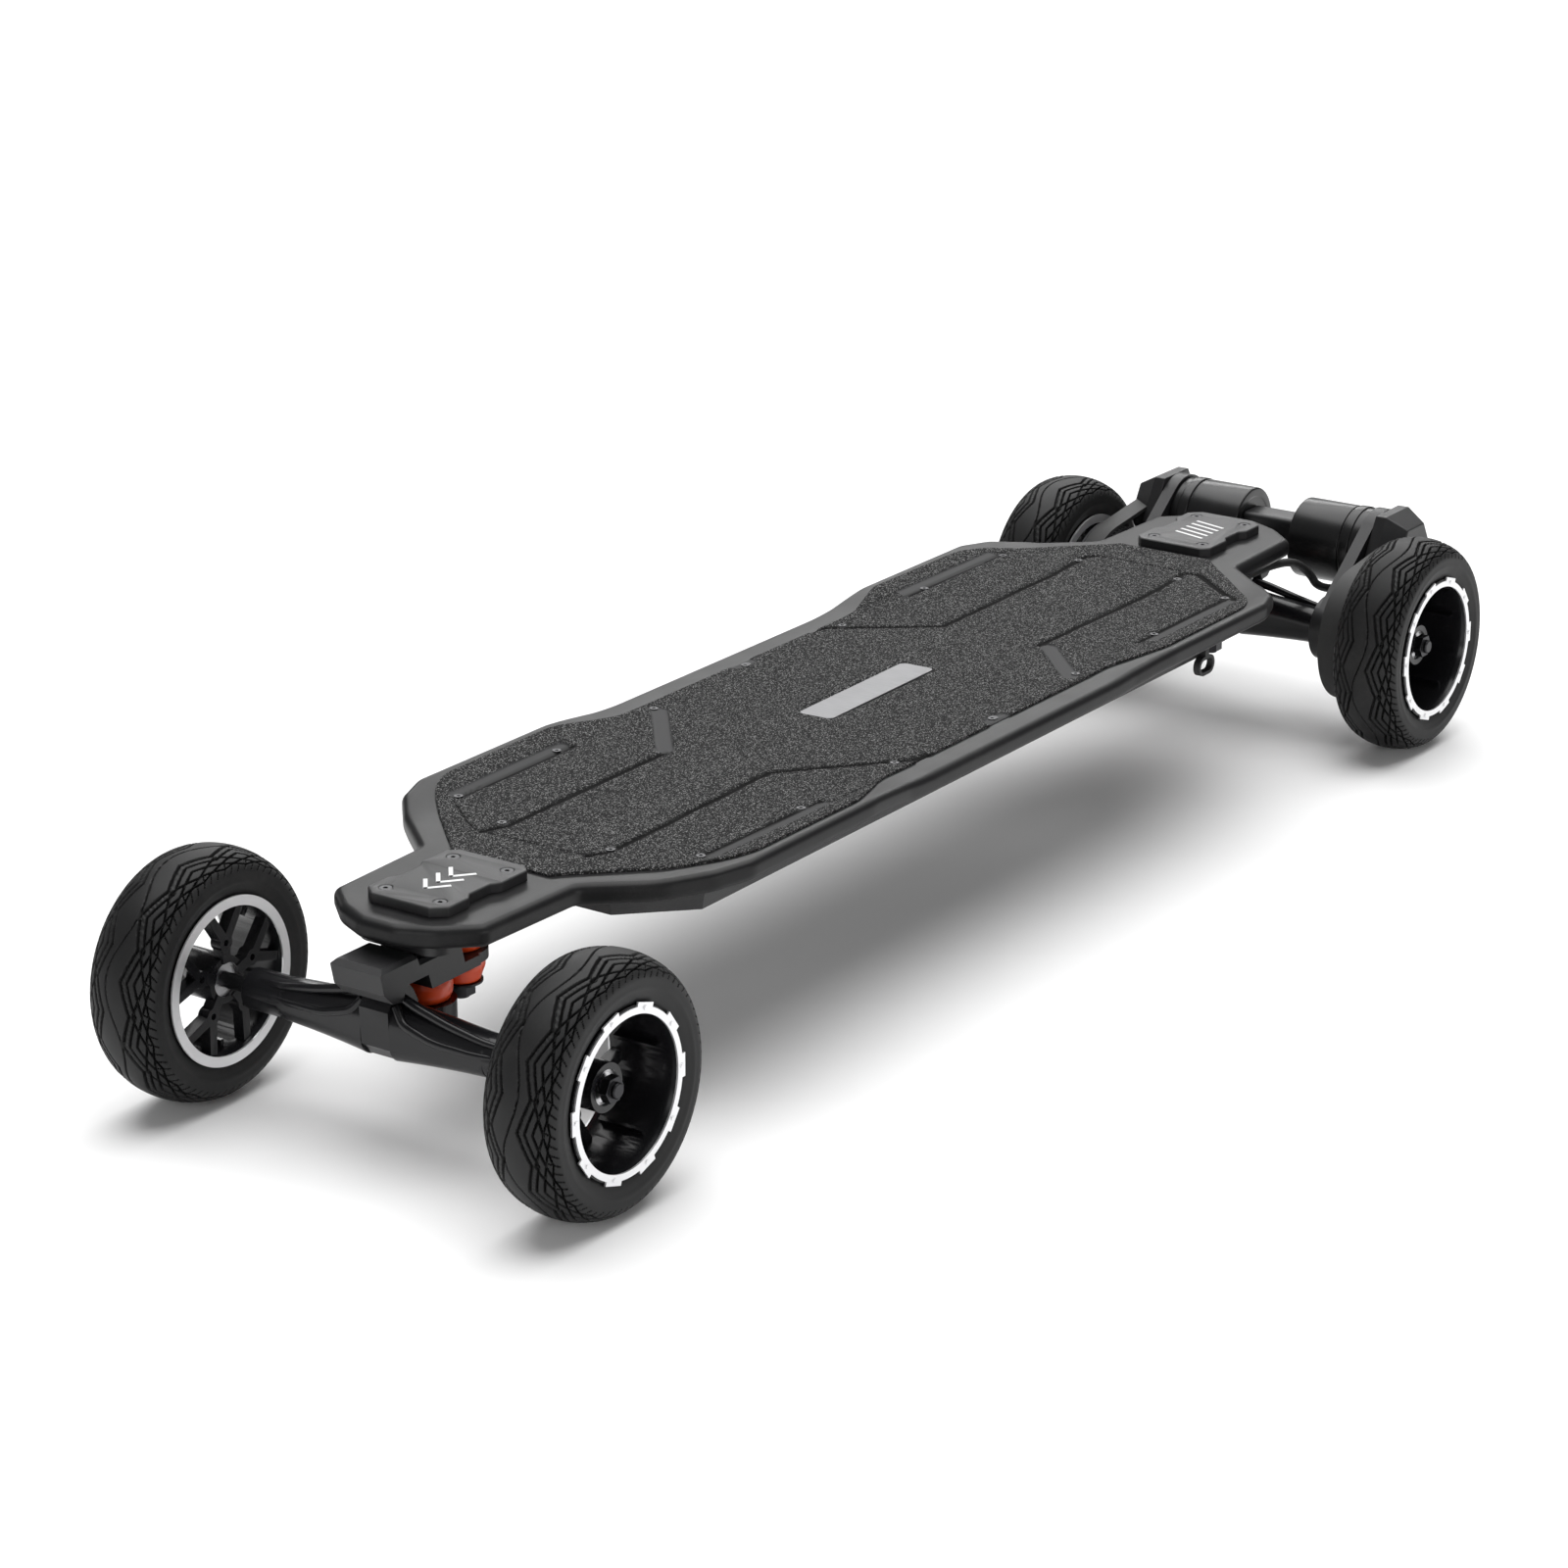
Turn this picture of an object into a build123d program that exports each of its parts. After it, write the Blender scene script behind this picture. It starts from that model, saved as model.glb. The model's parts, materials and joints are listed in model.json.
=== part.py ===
"""Electric skateboard with double-kingpin trucks, tyre wheels and a belt drive on the rear axle.

Millimetres, +Z up, +X towards the nose, +Y towards the rider's left. The ground is z = 0 and the
origin is under the centre of the whole board, so the wheelbase's middle stands at x = MID_X.
"""
import os
from math import atan2, cos, degrees, pi, radians, sin

from build123d import *

# ---- driving dimensions -----------------------------------------------------------------------
WHEELBASE = 1010.0
TRACK = 300.0                # between the wheels' centre planes
TYRE_R = 80.0
TYRE_W = 52.0
AXLE_Z = TYRE_R
AXLE_R = 5.0
RUN = 0.05                   # radial clearance of a running fit
GAP = 0.3                    # clearance between pieces that only stand beside each other

DECK_TOP = 150.0
DECK_T = 14.0
DECK_BOTTOM = DECK_TOP - DECK_T
WING_START = 92.0            # the top is flat inside this half-width and rises outside it
WING_SLOPE = 0.14
MAT_T = 2.0

BOLT_X, BOLT_Y = 63.5, 41.3  # truck bolt pattern
BOLT_CENTRE = 450.0
PLATE_T = 6.5

ENCLOSURE_REAR, ENCLOSURE_FRONT = -335.0, 370.0
ENCLOSURE_HALF = 102.0
ENCLOSURE_DEPTH = 17.0
ENCLOSURE_WALL = 2.5
POCKET_DEPTH = 6.0           # hollow in the deck's underside, over the battery

CELL_R, CELL_L = 9.2, 65.0   # 18650 cells in their sleeves
CELL_PITCH_Y, CELL_PITCH_X = 19.0, 66.0

MOTOR_BACK, MOTOR_UP = 71.0, 45.0      # motor axis from the rear axle
MOTOR_R = 31.3
MOTOR_INNER, MOTOR_OUTER = 23.0, 82.0  # distance from the centre plane
MOUNT_OUTER = 92.0
COVER_OUTER = 121.0
COVER_FLAT_R = 40.0                    # belt cover's inradius
BELT_INNER, BELT_OUTER = 101.0, 116.0
BELT_PITCH = 5.0
WHEEL_TEETH, MOTOR_TEETH = 60, 15
BELT_T = 3.0
TIP_DROP = 0.57                        # pitch line above the pulley's teeth

COVER_CORNER_R = COVER_FLAT_R / cos(pi / 6)
REAR_END = WHEELBASE / 2 + MOTOR_BACK + COVER_CORNER_R
FRONT_END = WHEELBASE / 2 + TYRE_R
MID_X = (REAR_END - FRONT_END) / 2     # puts the origin midway between the two ends

# ---- frames -----------------------------------------------------------------------------------
BOARD = Plane(origin=(MID_X, 0, 0))
ENDS = {"front": 1, "rear": -1}
SIDES = {"left": 1, "right": -1}


def truck_frame(end):
    """A truck's own frame: origin on the ground under its axle, x pointing off the board's end."""
    return Plane(origin=(MID_X + end * WHEELBASE / 2, 0, 0), x_dir=(end, 0, 0), z_dir=(0, 0, 1))


def wheel_frame(end, side):
    """A wheel's own frame: origin at its centre, z along the axle and away from the board."""
    centre = (MID_X + end * WHEELBASE / 2, side * TRACK / 2, AXLE_Z)
    return Plane(origin=centre, x_dir=(1, 0, 0), z_dir=(0, side, 0))


def motor_frame(side):
    """The motor's frame: origin on the centre plane at the motor's axis, z towards its pulley."""
    centre = (MID_X - WHEELBASE / 2 - MOTOR_BACK, 0, AXLE_Z + MOTOR_UP)
    return Plane(origin=centre, x_dir=(1, 0, 0), z_dir=(0, side, 0))


def on(frame, plane):
    """A plane given in a frame's own coordinates, placed in the board's."""
    return Plane(frame.location * plane.location)


def section_of(frame):
    """The plane through a round piece's axis: x is the radius, y runs along the axis."""
    return Plane(origin=frame.origin, x_dir=frame.x_dir, z_dir=frame.x_dir.cross(frame.z_dir))


def axis_of(frame):
    return Axis(frame.origin, frame.z_dir)


FROM_BASE = (Align.CENTER, Align.CENTER, Align.MIN)


def outline(points):
    """The filled shape with the given corners, where they stand, inside a BuildSketch."""
    return Polygon(*points, align=None)


def disc(plane, height, radius, depth, mode=Mode.ADD):
    """A cylinder from height to height + depth above a plane, inside a BuildPart."""
    with Locations(plane.offset(height)):
        Cylinder(radius, depth, align=FROM_BASE, mode=mode)


def hexagon(plane, height, across_flats, depth):
    """A hexagonal prism of the given size across its flats, inside a BuildPart."""
    with BuildSketch(plane.offset(height)) as flats:
        RegularPolygon(across_flats / 2, 6, major_radius=False)
    extrude(flats.sketch, amount=depth)


def save(part, name):
    part.label = name
    export_step(part, f"parts/{name}.step")


os.makedirs("parts", exist_ok=True)

# ---- deck -------------------------------------------------------------------------------------
# Quarter outlines, as (distance from the middle, half-width), from the end towards the waist.
DECK_QUARTER = [(517, 13), (506, 36), (486, 58), (402, 61), (366, 103), (344, 122), (318, 131),
                (188, 131), (140, 127)]
MAT_QUARTER = [(400, 36), (350, 88), (322, 113), (302, 121), (190, 122), (140, 105.5)]
TROUGH_STATIONS = [-530, -190, -110, 110, 190, 530]
TROUGH_HALF = 140


def four_way(quarter):
    """The closed outline made of a quarter outline and its three mirror images."""
    left = quarter + [(-x, y) for x, y in reversed(quarter)]
    return left + [(x, -y) for x, y in reversed(left)]


def trough(low, high):
    """A body between two heights, flat in the middle, whose sides rise along the platforms."""
    with BuildSketch(BOARD.offset(low)) as middle:
        Rectangle(TROUGH_STATIONS[-1] * 2, WING_START * 2)
    extrude(middle.sketch, amount=high - low)
    for side in (-1, 1):
        sections = []
        for x in TROUGH_STATIONS:
            rise = 0 if abs(x) < 150 else (TROUGH_HALF - WING_START) * WING_SLOPE
            with BuildSketch(on(BOARD, Plane.YZ.offset(x))) as section:
                outline([(side * WING_START, low), (side * TROUGH_HALF, low + rise),
                         (side * TROUGH_HALF, high + rise), (side * WING_START, high)])
            sections.append(section.sketch.face())
        loft(sections, ruled=True)


def bolt_grid(end):
    return [Location((end * BOLT_CENTRE + sx * BOLT_X / 2, sy * BOLT_Y / 2))
            for sx in (-1, 1) for sy in (-1, 1)]


MAT_SCREWS = [(322, 94), (218, 96), (344, 42), (112, 96), (1, 100)]
MAT_SCREW_R = 3.0


def mat_screw_places():
    return [Location((sx * x, sy * y)) for x, y in MAT_SCREWS for sx in (-1, 1) for sy in (-1, 1)]


with BuildPart() as deck_board:
    trough(DECK_BOTTOM, DECK_TOP)
    with BuildSketch(BOARD.offset(DECK_BOTTOM - 10)) as deck_plan:
        outline(four_way(DECK_QUARTER))
        fillet(deck_plan.vertices(), 9)
    extrude(amount=40, mode=Mode.INTERSECT)
    with BuildSketch(BOARD.offset(DECK_BOTTOM)):
        with Locations((22, 0)):
            RectangleRounded(650, 164, 12)
    extrude(amount=POCKET_DEPTH, mode=Mode.SUBTRACT)
    with BuildSketch(BOARD.offset(DECK_BOTTOM)):
        for end in (-1, 1):
            with Locations(*bolt_grid(end)):
                Circle(2.6)
    extrude(amount=DECK_T, mode=Mode.SUBTRACT)
save(deck_board.part, "deck_board")

with BuildPart() as grip_mat:
    trough(DECK_TOP, DECK_TOP + MAT_T)
    with BuildSketch(BOARD.offset(DECK_TOP - 10)) as mat_plan:
        outline(four_way(MAT_QUARTER))
        fillet(mat_plan.vertices(), 8)
    extrude(amount=40, mode=Mode.INTERSECT)
    with BuildSketch(BOARD.offset(DECK_TOP - 1)):
        outline([(66, -12.6), (64.6, 14.6), (-66, 12.6), (-64.6, -14.6)])
        with Locations(*mat_screw_places()):
            Circle(MAT_SCREW_R + 0.3)
    extrude(amount=12, mode=Mode.SUBTRACT)
save(grip_mat.part, "grip_mat")

with BuildPart() as centre_badge:
    with BuildSketch(BOARD.offset(DECK_TOP)) as badge_plan:
        outline([(65.4, -12), (64, 14), (-65.4, 12), (-64, -14)])
        chamfer(badge_plan.vertices(), 3)
    extrude(amount=MAT_T - 0.2)
save(centre_badge.part, "centre_badge")

PLATE_OUTLINE = [(44, -22), (44, 22), (36, 31), (18, 31), (12, 27), (-8, 27), (-14, 31), (-38, 31),
                 (-44, 25), (-44, -25), (-38, -31), (-14, -31), (-8, -27), (12, -27), (18, -31),
                 (36, -31)]
HEAD_R, SHANK_R = 4.6, 2.5


def end_plate(end):
    """The thick plate over each truck, its stepped sides mirrored towards its own end."""
    with BuildPart() as plate:
        with BuildSketch(BOARD.offset(DECK_TOP)) as plan:
            outline([(end * (BOLT_CENTRE + x), y) for x, y in PLATE_OUTLINE])
            fillet(plan.vertices(), 2)
        extrude(amount=PLATE_T)
        chamfer(plate.faces().sort_by(Axis.Z)[-1].edges(), 0.8)
        with Locations(BOARD.offset(DECK_TOP + PLATE_T)):
            with Locations(*bolt_grid(end)):
                CounterSinkHole(SHANK_R + 0.1, HEAD_R + 0.1, counter_sink_angle=90)
    return plate.part


save(end_plate(1), "nose_plate")
save(end_plate(-1), "tail_plate")

BASE_T = 8.0
BASE_BOTTOM = DECK_BOTTOM - BASE_T
with BuildPart() as truck_bolts:
    for end in (-1, 1):
        for place in bolt_grid(end):
            x, y = place.position.X, place.position.Y
            with BuildSketch(on(BOARD, Plane.XZ.offset(-y))):
                top = DECK_TOP + PLATE_T - 0.4
                with Locations((x, 0)):
                    outline([(0, BASE_BOTTOM + 0.6), (SHANK_R, BASE_BOTTOM + 0.6),
                             (SHANK_R, top - HEAD_R + 0.6 + SHANK_R), (HEAD_R - 0.6, top),
                             (0, top)])
            revolve(axis=Axis((MID_X + x, y, 0), (0, 0, 1)))
            with BuildSketch(BOARD.offset(top)):
                with Locations((x, y)):
                    RegularPolygon(1.6, 6)
            extrude(amount=-2, mode=Mode.SUBTRACT)
save(truck_bolts.part, "truck_bolts")

# ---- underside --------------------------------------------------------------------------------
CORNER = 42.0
ENCLOSURE_TAPER = 14.0
ENCLOSURE_BOTTOM = DECK_BOTTOM - ENCLOSURE_DEPTH


def enclosure_outline(inset):
    front, rear, half = ENCLOSURE_FRONT - inset, ENCLOSURE_REAR + inset, ENCLOSURE_HALF - inset
    outline([(front, -half + CORNER), (front, half - CORNER), (front - CORNER, half),
             (rear + CORNER, half), (rear, half - CORNER), (rear, -half + CORNER),
             (rear + CORNER, -half), (front - CORNER, -half)])


PORT_X, BUTTON_X, SIDE_Z = -272.0, -236.0, DECK_BOTTOM - 8.0
PORT_R, BUTTON_R = 7.0, 5.0
ENCLOSURE_SCREW_X = [-205, -110, -15, 90, 195, 300]
ENCLOSURE_SCREW_Y = 90.0

with BuildPart() as enclosure:
    with BuildSketch(BOARD.offset(DECK_BOTTOM)):
        enclosure_outline(0)
    extrude(amount=-ENCLOSURE_DEPTH, taper=ENCLOSURE_TAPER)
    with BuildSketch(BOARD.offset(DECK_BOTTOM)):
        enclosure_outline(14)
    extrude(amount=-(ENCLOSURE_DEPTH - ENCLOSURE_WALL), taper=6, mode=Mode.SUBTRACT)
    with BuildSketch(on(BOARD, Plane.XZ.offset(-ENCLOSURE_HALF - 5))):
        with Locations((PORT_X, SIDE_Z)):
            Circle(PORT_R + RUN)
        with Locations((BUTTON_X, SIDE_Z)):
            Circle(BUTTON_R + 2 * RUN)
    extrude(amount=30, mode=Mode.SUBTRACT)
    with BuildSketch(BOARD.offset(ENCLOSURE_BOTTOM - 1)):
        with Locations(*[(x, s * ENCLOSURE_SCREW_Y) for x in ENCLOSURE_SCREW_X for s in (-1, 1)]):
            Circle(3.4)
    extrude(amount=5, mode=Mode.SUBTRACT)
    with BuildSketch(BOARD.offset(ENCLOSURE_BOTTOM - 1)):
        with Locations(*[(x, s * ENCLOSURE_SCREW_Y) for x in ENCLOSURE_SCREW_X for s in (-1, 1)]):
            Circle(1.6)
    extrude(amount=30, mode=Mode.SUBTRACT)
save(enclosure.part, "enclosure")

with BuildPart() as flat_head_screws:
    for place in mat_screw_places():
        x, y = place.position.X, place.position.Y
        wing = max(0.0, abs(y) - WING_START) * WING_SLOPE if abs(x) > 200 else 0.0
        screw = BOARD.offset(DECK_TOP)
        with BuildSketch(screw.offset(wing + 0.6)):
            with Locations((x, y)):
                Circle(MAT_SCREW_R)
        extrude(amount=MAT_T - 1)
        with BuildSketch(screw.offset(wing + MAT_T - 0.4)):
            with Locations((x, y)):
                RegularPolygon(1.3, 6)
        extrude(amount=-1.2, mode=Mode.SUBTRACT)
    for x in ENCLOSURE_SCREW_X:
        for side in (-1, 1):
            with BuildSketch(BOARD.offset(ENCLOSURE_BOTTOM + 1)):
                with Locations((x, side * ENCLOSURE_SCREW_Y)):
                    Circle(3.1)
            extrude(amount=2.8)
            with BuildSketch(BOARD.offset(ENCLOSURE_BOTTOM + 3)):
                with Locations((x, side * ENCLOSURE_SCREW_Y)):
                    Circle(1.5)
            extrude(amount=ENCLOSURE_DEPTH - 3.2)
save(flat_head_screws.part, "flat_head_screws")

BATTERY_BOARD_X, CONTROLLER_X = -103.0, -181.0
CELL_Z = ENCLOSURE_BOTTOM + ENCLOSURE_WALL + CELL_R + 0.4
CELL_FIRST_X = -45.0
with BuildPart() as battery_cells:
    for row in range(6):
        start = CELL_FIRST_X + row * CELL_PITCH_X - CELL_L / 2
        with BuildSketch(on(BOARD, Plane.YZ.offset(start))):
            with Locations((0, CELL_Z)):
                with GridLocations(CELL_PITCH_Y, 1, 8, 1):
                    Circle(CELL_R)
        extrude(amount=CELL_L)
save(battery_cells.part, "battery_cells")

with BuildPart() as battery_board:
    with BuildSketch(BOARD.offset(CELL_Z - 4)):
        with Locations((BATTERY_BOARD_X, 0)):
            RectangleRounded(40, 140, 2)
    extrude(amount=1.6)
    with BuildSketch(BOARD.offset(CELL_Z - 2.4)):
        with Locations((BATTERY_BOARD_X, 0)):
            with GridLocations(0, 16, 1, 8):
                Rectangle(10, 9)
    extrude(amount=3)
save(battery_board.part, "battery_board")

with BuildPart() as motor_controller:
    with BuildSketch(BOARD.offset(ENCLOSURE_BOTTOM + ENCLOSURE_WALL + 0.3)):
        with Locations((CONTROLLER_X, 0)):
            RectangleRounded(100, 130, 4)
    extrude(amount=15)
    with BuildSketch(BOARD.offset(ENCLOSURE_BOTTOM + ENCLOSURE_WALL + 15.3)):
        with Locations((CONTROLLER_X, 0)):
            with GridLocations(8, 0, 12, 1):
                Rectangle(3, 120)
    extrude(amount=4)
save(motor_controller.part, "motor_controller")

PORT_FACE = 100.5
SIDE_PORT = on(BOARD, Plane(origin=(PORT_X, 0, SIDE_Z), x_dir=(1, 0, 0), z_dir=(0, 1, 0)))
SIDE_BUTTON = on(BOARD, Plane(origin=(BUTTON_X, 0, SIDE_Z), x_dir=(1, 0, 0), z_dir=(0, 1, 0)))
PLUG_STEM_R = 4.0
with BuildPart() as charge_port:
    disc(SIDE_PORT, 78, PORT_R, PORT_FACE - 78)
    disc(SIDE_PORT, 84, PLUG_STEM_R + 0.3, 20, Mode.SUBTRACT)
    disc(SIDE_PORT, 83.5, 1.0, 6)
save(charge_port.part, "charge_port")

LOOP_Y = PORT_FACE + 5.0
with BuildPart() as port_plug:
    disc(SIDE_PORT, 91, PLUG_STEM_R, PORT_FACE - 91 + 1)
    disc(SIDE_PORT, PORT_FACE + GAP, PORT_R, 3)
    disc(SIDE_PORT, PORT_FACE + GAP, 2.6, LOOP_Y - PORT_FACE + 2)
    with BuildSketch(on(BOARD, Plane.XZ.offset(-(LOOP_Y + 1)))):
        with Locations((PORT_X, SIDE_Z - 11)):
            SlotCenterToCenter(8, 14)
            SlotCenterToCenter(8, 9, mode=Mode.SUBTRACT)
        with Locations((PORT_X, SIDE_Z - 2)):
            Rectangle(5, 6)
    extrude(amount=2.5, both=True)
save(port_plug.part, "port_plug")

with BuildPart() as power_button:
    disc(SIDE_BUTTON, 84.2, BUTTON_R + 1.2, 2)
    disc(SIDE_BUTTON, 86.2, BUTTON_R, 16.3)
    fillet(power_button.faces().sort_by(Axis.Y)[-1].edges(), 0.8)
save(power_button.part, "power_button")

# ---- trucks -----------------------------------------------------------------------------------
# In a truck's frame x points off the board's end. The arm turns under the baseplate about a line
# from its ring up to the baseplate's pivot pin. The hanger turns under the arm in the same way.
KING_X, KING_R, KING_HEAD_R = -66.0, 5.0, 7.0
RING_Z, RING_T, RING_R = 106.5, 6.6, 17.0
BASE_PIVOT = (-11.0, 122.5)
CUP_X, CUP_TOP, CUP_T, CUP_R = -32.0, 87.8, 15.0, 19.0
ARM_PIVOT = (8.0, 110.0)
ARM_HALF = 19.0
ARM_UNDER = 103.2
PIN_R = 3.5
UPPER_SLOPE = degrees(atan2(BASE_PIVOT[1] - RING_Z, BASE_PIVOT[0] - KING_X))
LOWER_SLOPE = degrees(atan2(ARM_PIVOT[1] - CUP_TOP, ARM_PIVOT[0] - CUP_X))
END_R = 13.0                 # round ends of the hanger
HANGER_END = 106.0
STEM_START = 78.0


def along(frame, point, slope):
    """The plane across a pivot pin, its normal running off the board and up at the slope."""
    direction = Vector(cos(radians(slope)), 0, sin(radians(slope)))
    return on(frame, Plane(origin=(point[0], 0, point[1]), x_dir=(0, 1, 0), z_dir=direction))


def baseplate(frame):
    with BuildPart() as plate:
        with BuildSketch(frame.offset(BASE_BOTTOM)):
            with Locations((-52, 0)):
                RectangleRounded(94, 64, 12)
        extrude(amount=BASE_T)
        king = on(frame, Plane(origin=(KING_X, 0, 0)))
        disc(king, 117, RING_R + 1, BASE_BOTTOM - 117)
        with BuildSketch(frame.offset(118)):
            with Locations((-11, 0)):
                Rectangle(10, 15)
        extrude(amount=BASE_BOTTOM - 118)
        chamfer(plate.faces().sort_by(Axis.Z)[-1].edges(), 0.6)
        with BuildSketch(along(frame, BASE_PIVOT, UPPER_SLOPE)):
            Circle(PIN_R)
        extrude(amount=-12.5)
        disc(king, 100, KING_R + RUN, 40, Mode.SUBTRACT)
        disc(king, 128.5, KING_HEAD_R + 0.6, 10, Mode.SUBTRACT)
        with BuildSketch(frame.offset(BASE_BOTTOM)):
            with Locations((WHEELBASE / -2 + BOLT_CENTRE, 0)):
                with GridLocations(BOLT_X, BOLT_Y, 2, 2):
                    Circle(SHANK_R + 0.1)
        extrude(amount=BASE_T, mode=Mode.SUBTRACT)
    return plate.part


def king_bolt(frame, x, head_z, nut_z, washer_r):
    """A kingpin bolt with its nut and washers, its head up."""
    king = on(frame, Plane(origin=(x, 0, 0)))
    with BuildPart() as bolt:
        disc(king, head_z, KING_HEAD_R, 6)
        with BuildSketch(king.offset(head_z + 6)):
            RegularPolygon(4, 6)
        extrude(amount=-3, mode=Mode.SUBTRACT)
        disc(king, nut_z - 2, KING_R, head_z - nut_z + 2)
        disc(king, nut_z + 8, washer_r, 1.5)
        hexagon(king, nut_z, 15, 8)
    return bolt.part


def ring_body(plane, low, high, radii, bore):
    """A bushing: a turned ring whose outer radius follows the given radii from low to high."""
    steps = len(radii) - 1
    outer = [(radii[i], low + (high - low) * i / steps) for i in range(steps + 1)]
    with BuildSketch(section_of(plane)) as section:
        outline([(bore, low)] + outer + [(bore, high)])
    revolve(section.sketch, axis=axis_of(plane))


def upper_bushings(frame):
    king = on(frame, Plane(origin=(KING_X, 0, 0)))
    with BuildPart() as pair:
        ring_body(king, RING_Z + RING_T / 2 + 0.1, 116.9, [13, 14.5, 14], KING_R + 0.1)
        ring_body(king, 89.1, RING_Z - RING_T / 2 - 0.1, [12, 13.4, 15.2, 14.6], KING_R + 0.1)
    return pair.part


def lower_bushings(frame):
    king = on(frame, Plane(origin=(CUP_X, 0, 0)))
    with BuildPart() as pair:
        ring_body(king, CUP_TOP + 0.1, ARM_UNDER - 0.1, [14.5, 16.8, 17.0, 15.2], KING_R + 0.1)
        ring_body(king, 66.1, CUP_TOP - CUP_T - 0.1, [10, 12, 12], KING_R + 0.1)
    return pair.part


def arm(frame):
    with BuildPart() as body:
        with BuildSketch(on(frame, Plane.XZ)):
            outline([(-62, ARM_UNDER), (-62, RING_Z + RING_T / 2), (-47, RING_Z + RING_T / 2),
                     (-43, 124), (-4, 124), (-2, 129), (27, 129), (31, 126), (28, 113),
                     (20, 105), (11.5, 104), (6.3, 113), (-13, 113), (-16, ARM_UNDER)])
        extrude(amount=ARM_HALF, both=True)
        chamfer(body.edges().filter_by(Axis.X).sort_by(Axis.Z)[-4:], 2.5)
        king = on(frame, Plane(origin=(KING_X, 0, 0)))
        low_king = on(frame, Plane(origin=(CUP_X, 0, 0)))
        disc(king, RING_Z - RING_T / 2, RING_R, RING_T)
        disc(king, 90, 7.5, 30, Mode.SUBTRACT)
        disc(low_king, 95, KING_R + RUN, 30, Mode.SUBTRACT)
        disc(low_king, 113, KING_HEAD_R + 0.6, 20, Mode.SUBTRACT)
        with BuildSketch(frame.offset(116.5)):
            with Locations((-11.5, 0)):
                Rectangle(13.5, 20)
        extrude(amount=20, mode=Mode.SUBTRACT)
        with BuildSketch(along(frame, BASE_PIVOT, UPPER_SLOPE)):
            Circle(PIN_R + RUN)
        extrude(amount=-13, mode=Mode.SUBTRACT)
        with BuildSketch(along(frame, ARM_PIVOT, LOWER_SLOPE)):
            Circle(PIN_R + RUN)
        extrude(amount=13, both=True, mode=Mode.SUBTRACT)
    return body.part


# Hanger sections outwards from the middle: distance, width along x, height, and the centre.
HANGER_SECTIONS = [(11, 28, 37, 1.5, 80.5), (43, 26.5, 31, 0.6, 80.5),
                   (STEM_START, 26, 26, 0, AXLE_Z)]


def hanger(frame):
    with BuildPart() as body:
        for side in (-1, 1):
            for reach, width, height, shift, middle in HANGER_SECTIONS:
                with BuildSketch(on(frame, Plane.XZ.offset(-side * reach))):
                    with Locations((shift, middle)):
                        RectangleRounded(width, height, min(width, height) * 0.46)
            loft()
            with BuildSketch(on(frame, Plane.XZ.offset(-side * STEM_START))):
                with Locations((0, AXLE_Z)):
                    Circle(END_R)
            extrude(amount=-side * (HANGER_END - STEM_START))
        with BuildSketch(on(frame, Plane.XZ)):
            outline([(-12, 66), (8, 64), (15, 72), (16, 96), (10.6, 103.2), (6.1, 110.9),
                     (-2, 110.9), (-8, 104), (-12, 96)])
        extrude(amount=11, both=True)
        king = on(frame, Plane(origin=(CUP_X, 0, 0)))
        disc(king, CUP_TOP - CUP_T, CUP_R, CUP_T)
        with BuildSketch(frame.offset(CUP_TOP - CUP_T)):
            with Locations((-21, 0)):
                Rectangle(22, 30)
        extrude(amount=12)
        with BuildSketch(along(frame, ARM_PIVOT, LOWER_SLOPE)):
            Circle(PIN_R)
        extrude(amount=12)
        with BuildSketch(along(frame, ARM_PIVOT, LOWER_SLOPE)):
            Circle(PIN_R)
        extrude(amount=-6)
        disc(king, 60, 8, 40, Mode.SUBTRACT)
        with BuildSketch(on(frame, Plane.XZ.offset(-HANGER_END - 1))):
            with Locations((0, AXLE_Z)):
                Circle(AXLE_R + RUN)
        extrude(amount=2 * HANGER_END + 2, mode=Mode.SUBTRACT)
    return body.part


AXLE_END = TRACK / 2 + 18.0
NUT_T = 6.0
NUT_START = AXLE_END - NUT_T - 3.0


def axle(frame):
    with BuildPart() as rod:
        for side in (-1, 1):
            half = on(frame, Plane(origin=(0, 0, AXLE_Z), x_dir=(1, 0, 0), z_dir=(0, side, 0)))
            disc(half, 0, AXLE_R, AXLE_END)
            hexagon(half, NUT_START, 15, NUT_T)
            chamfer(rod.faces().sort_by(Axis.Y)[0 if side < 0 else -1].edges(), 0.8)
    return rod.part


for name, end in ENDS.items():
    truck = truck_frame(end)
    save(baseplate(truck), f"{name}_baseplate")
    save(king_bolt(truck, KING_X, 129, 79.5, 13.5), f"{name}_upper_kingpin")
    save(upper_bushings(truck), f"{name}_upper_bushings")
    save(arm(truck), f"{name}_arm")
    save(king_bolt(truck, CUP_X, 113.3, 56.5, 11.5), f"{name}_lower_kingpin")
    save(lower_bushings(truck), f"{name}_lower_bushings")
    save(hanger(truck), f"{name}_hanger")
    save(axle(truck), f"{name}_axle")

# ---- wheels -----------------------------------------------------------------------------------
RIM_R = 53.7                 # outside of the bright rings
RING_INNER_R = 47.2
RIM_HALF = 24.0
RING_THICK = 1.3
BOSS_R = 15.0
BEARING_R, BEARING_T = 11.0, 6.0
BEARING_PLACES = (-19.0, 1.0)          # start of each bearing along the wheel's axis
WEB_LOW, WEB_HIGH = -22.0, -14.0       # the spoked web stands at the inner side
SPOKES = 5


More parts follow.
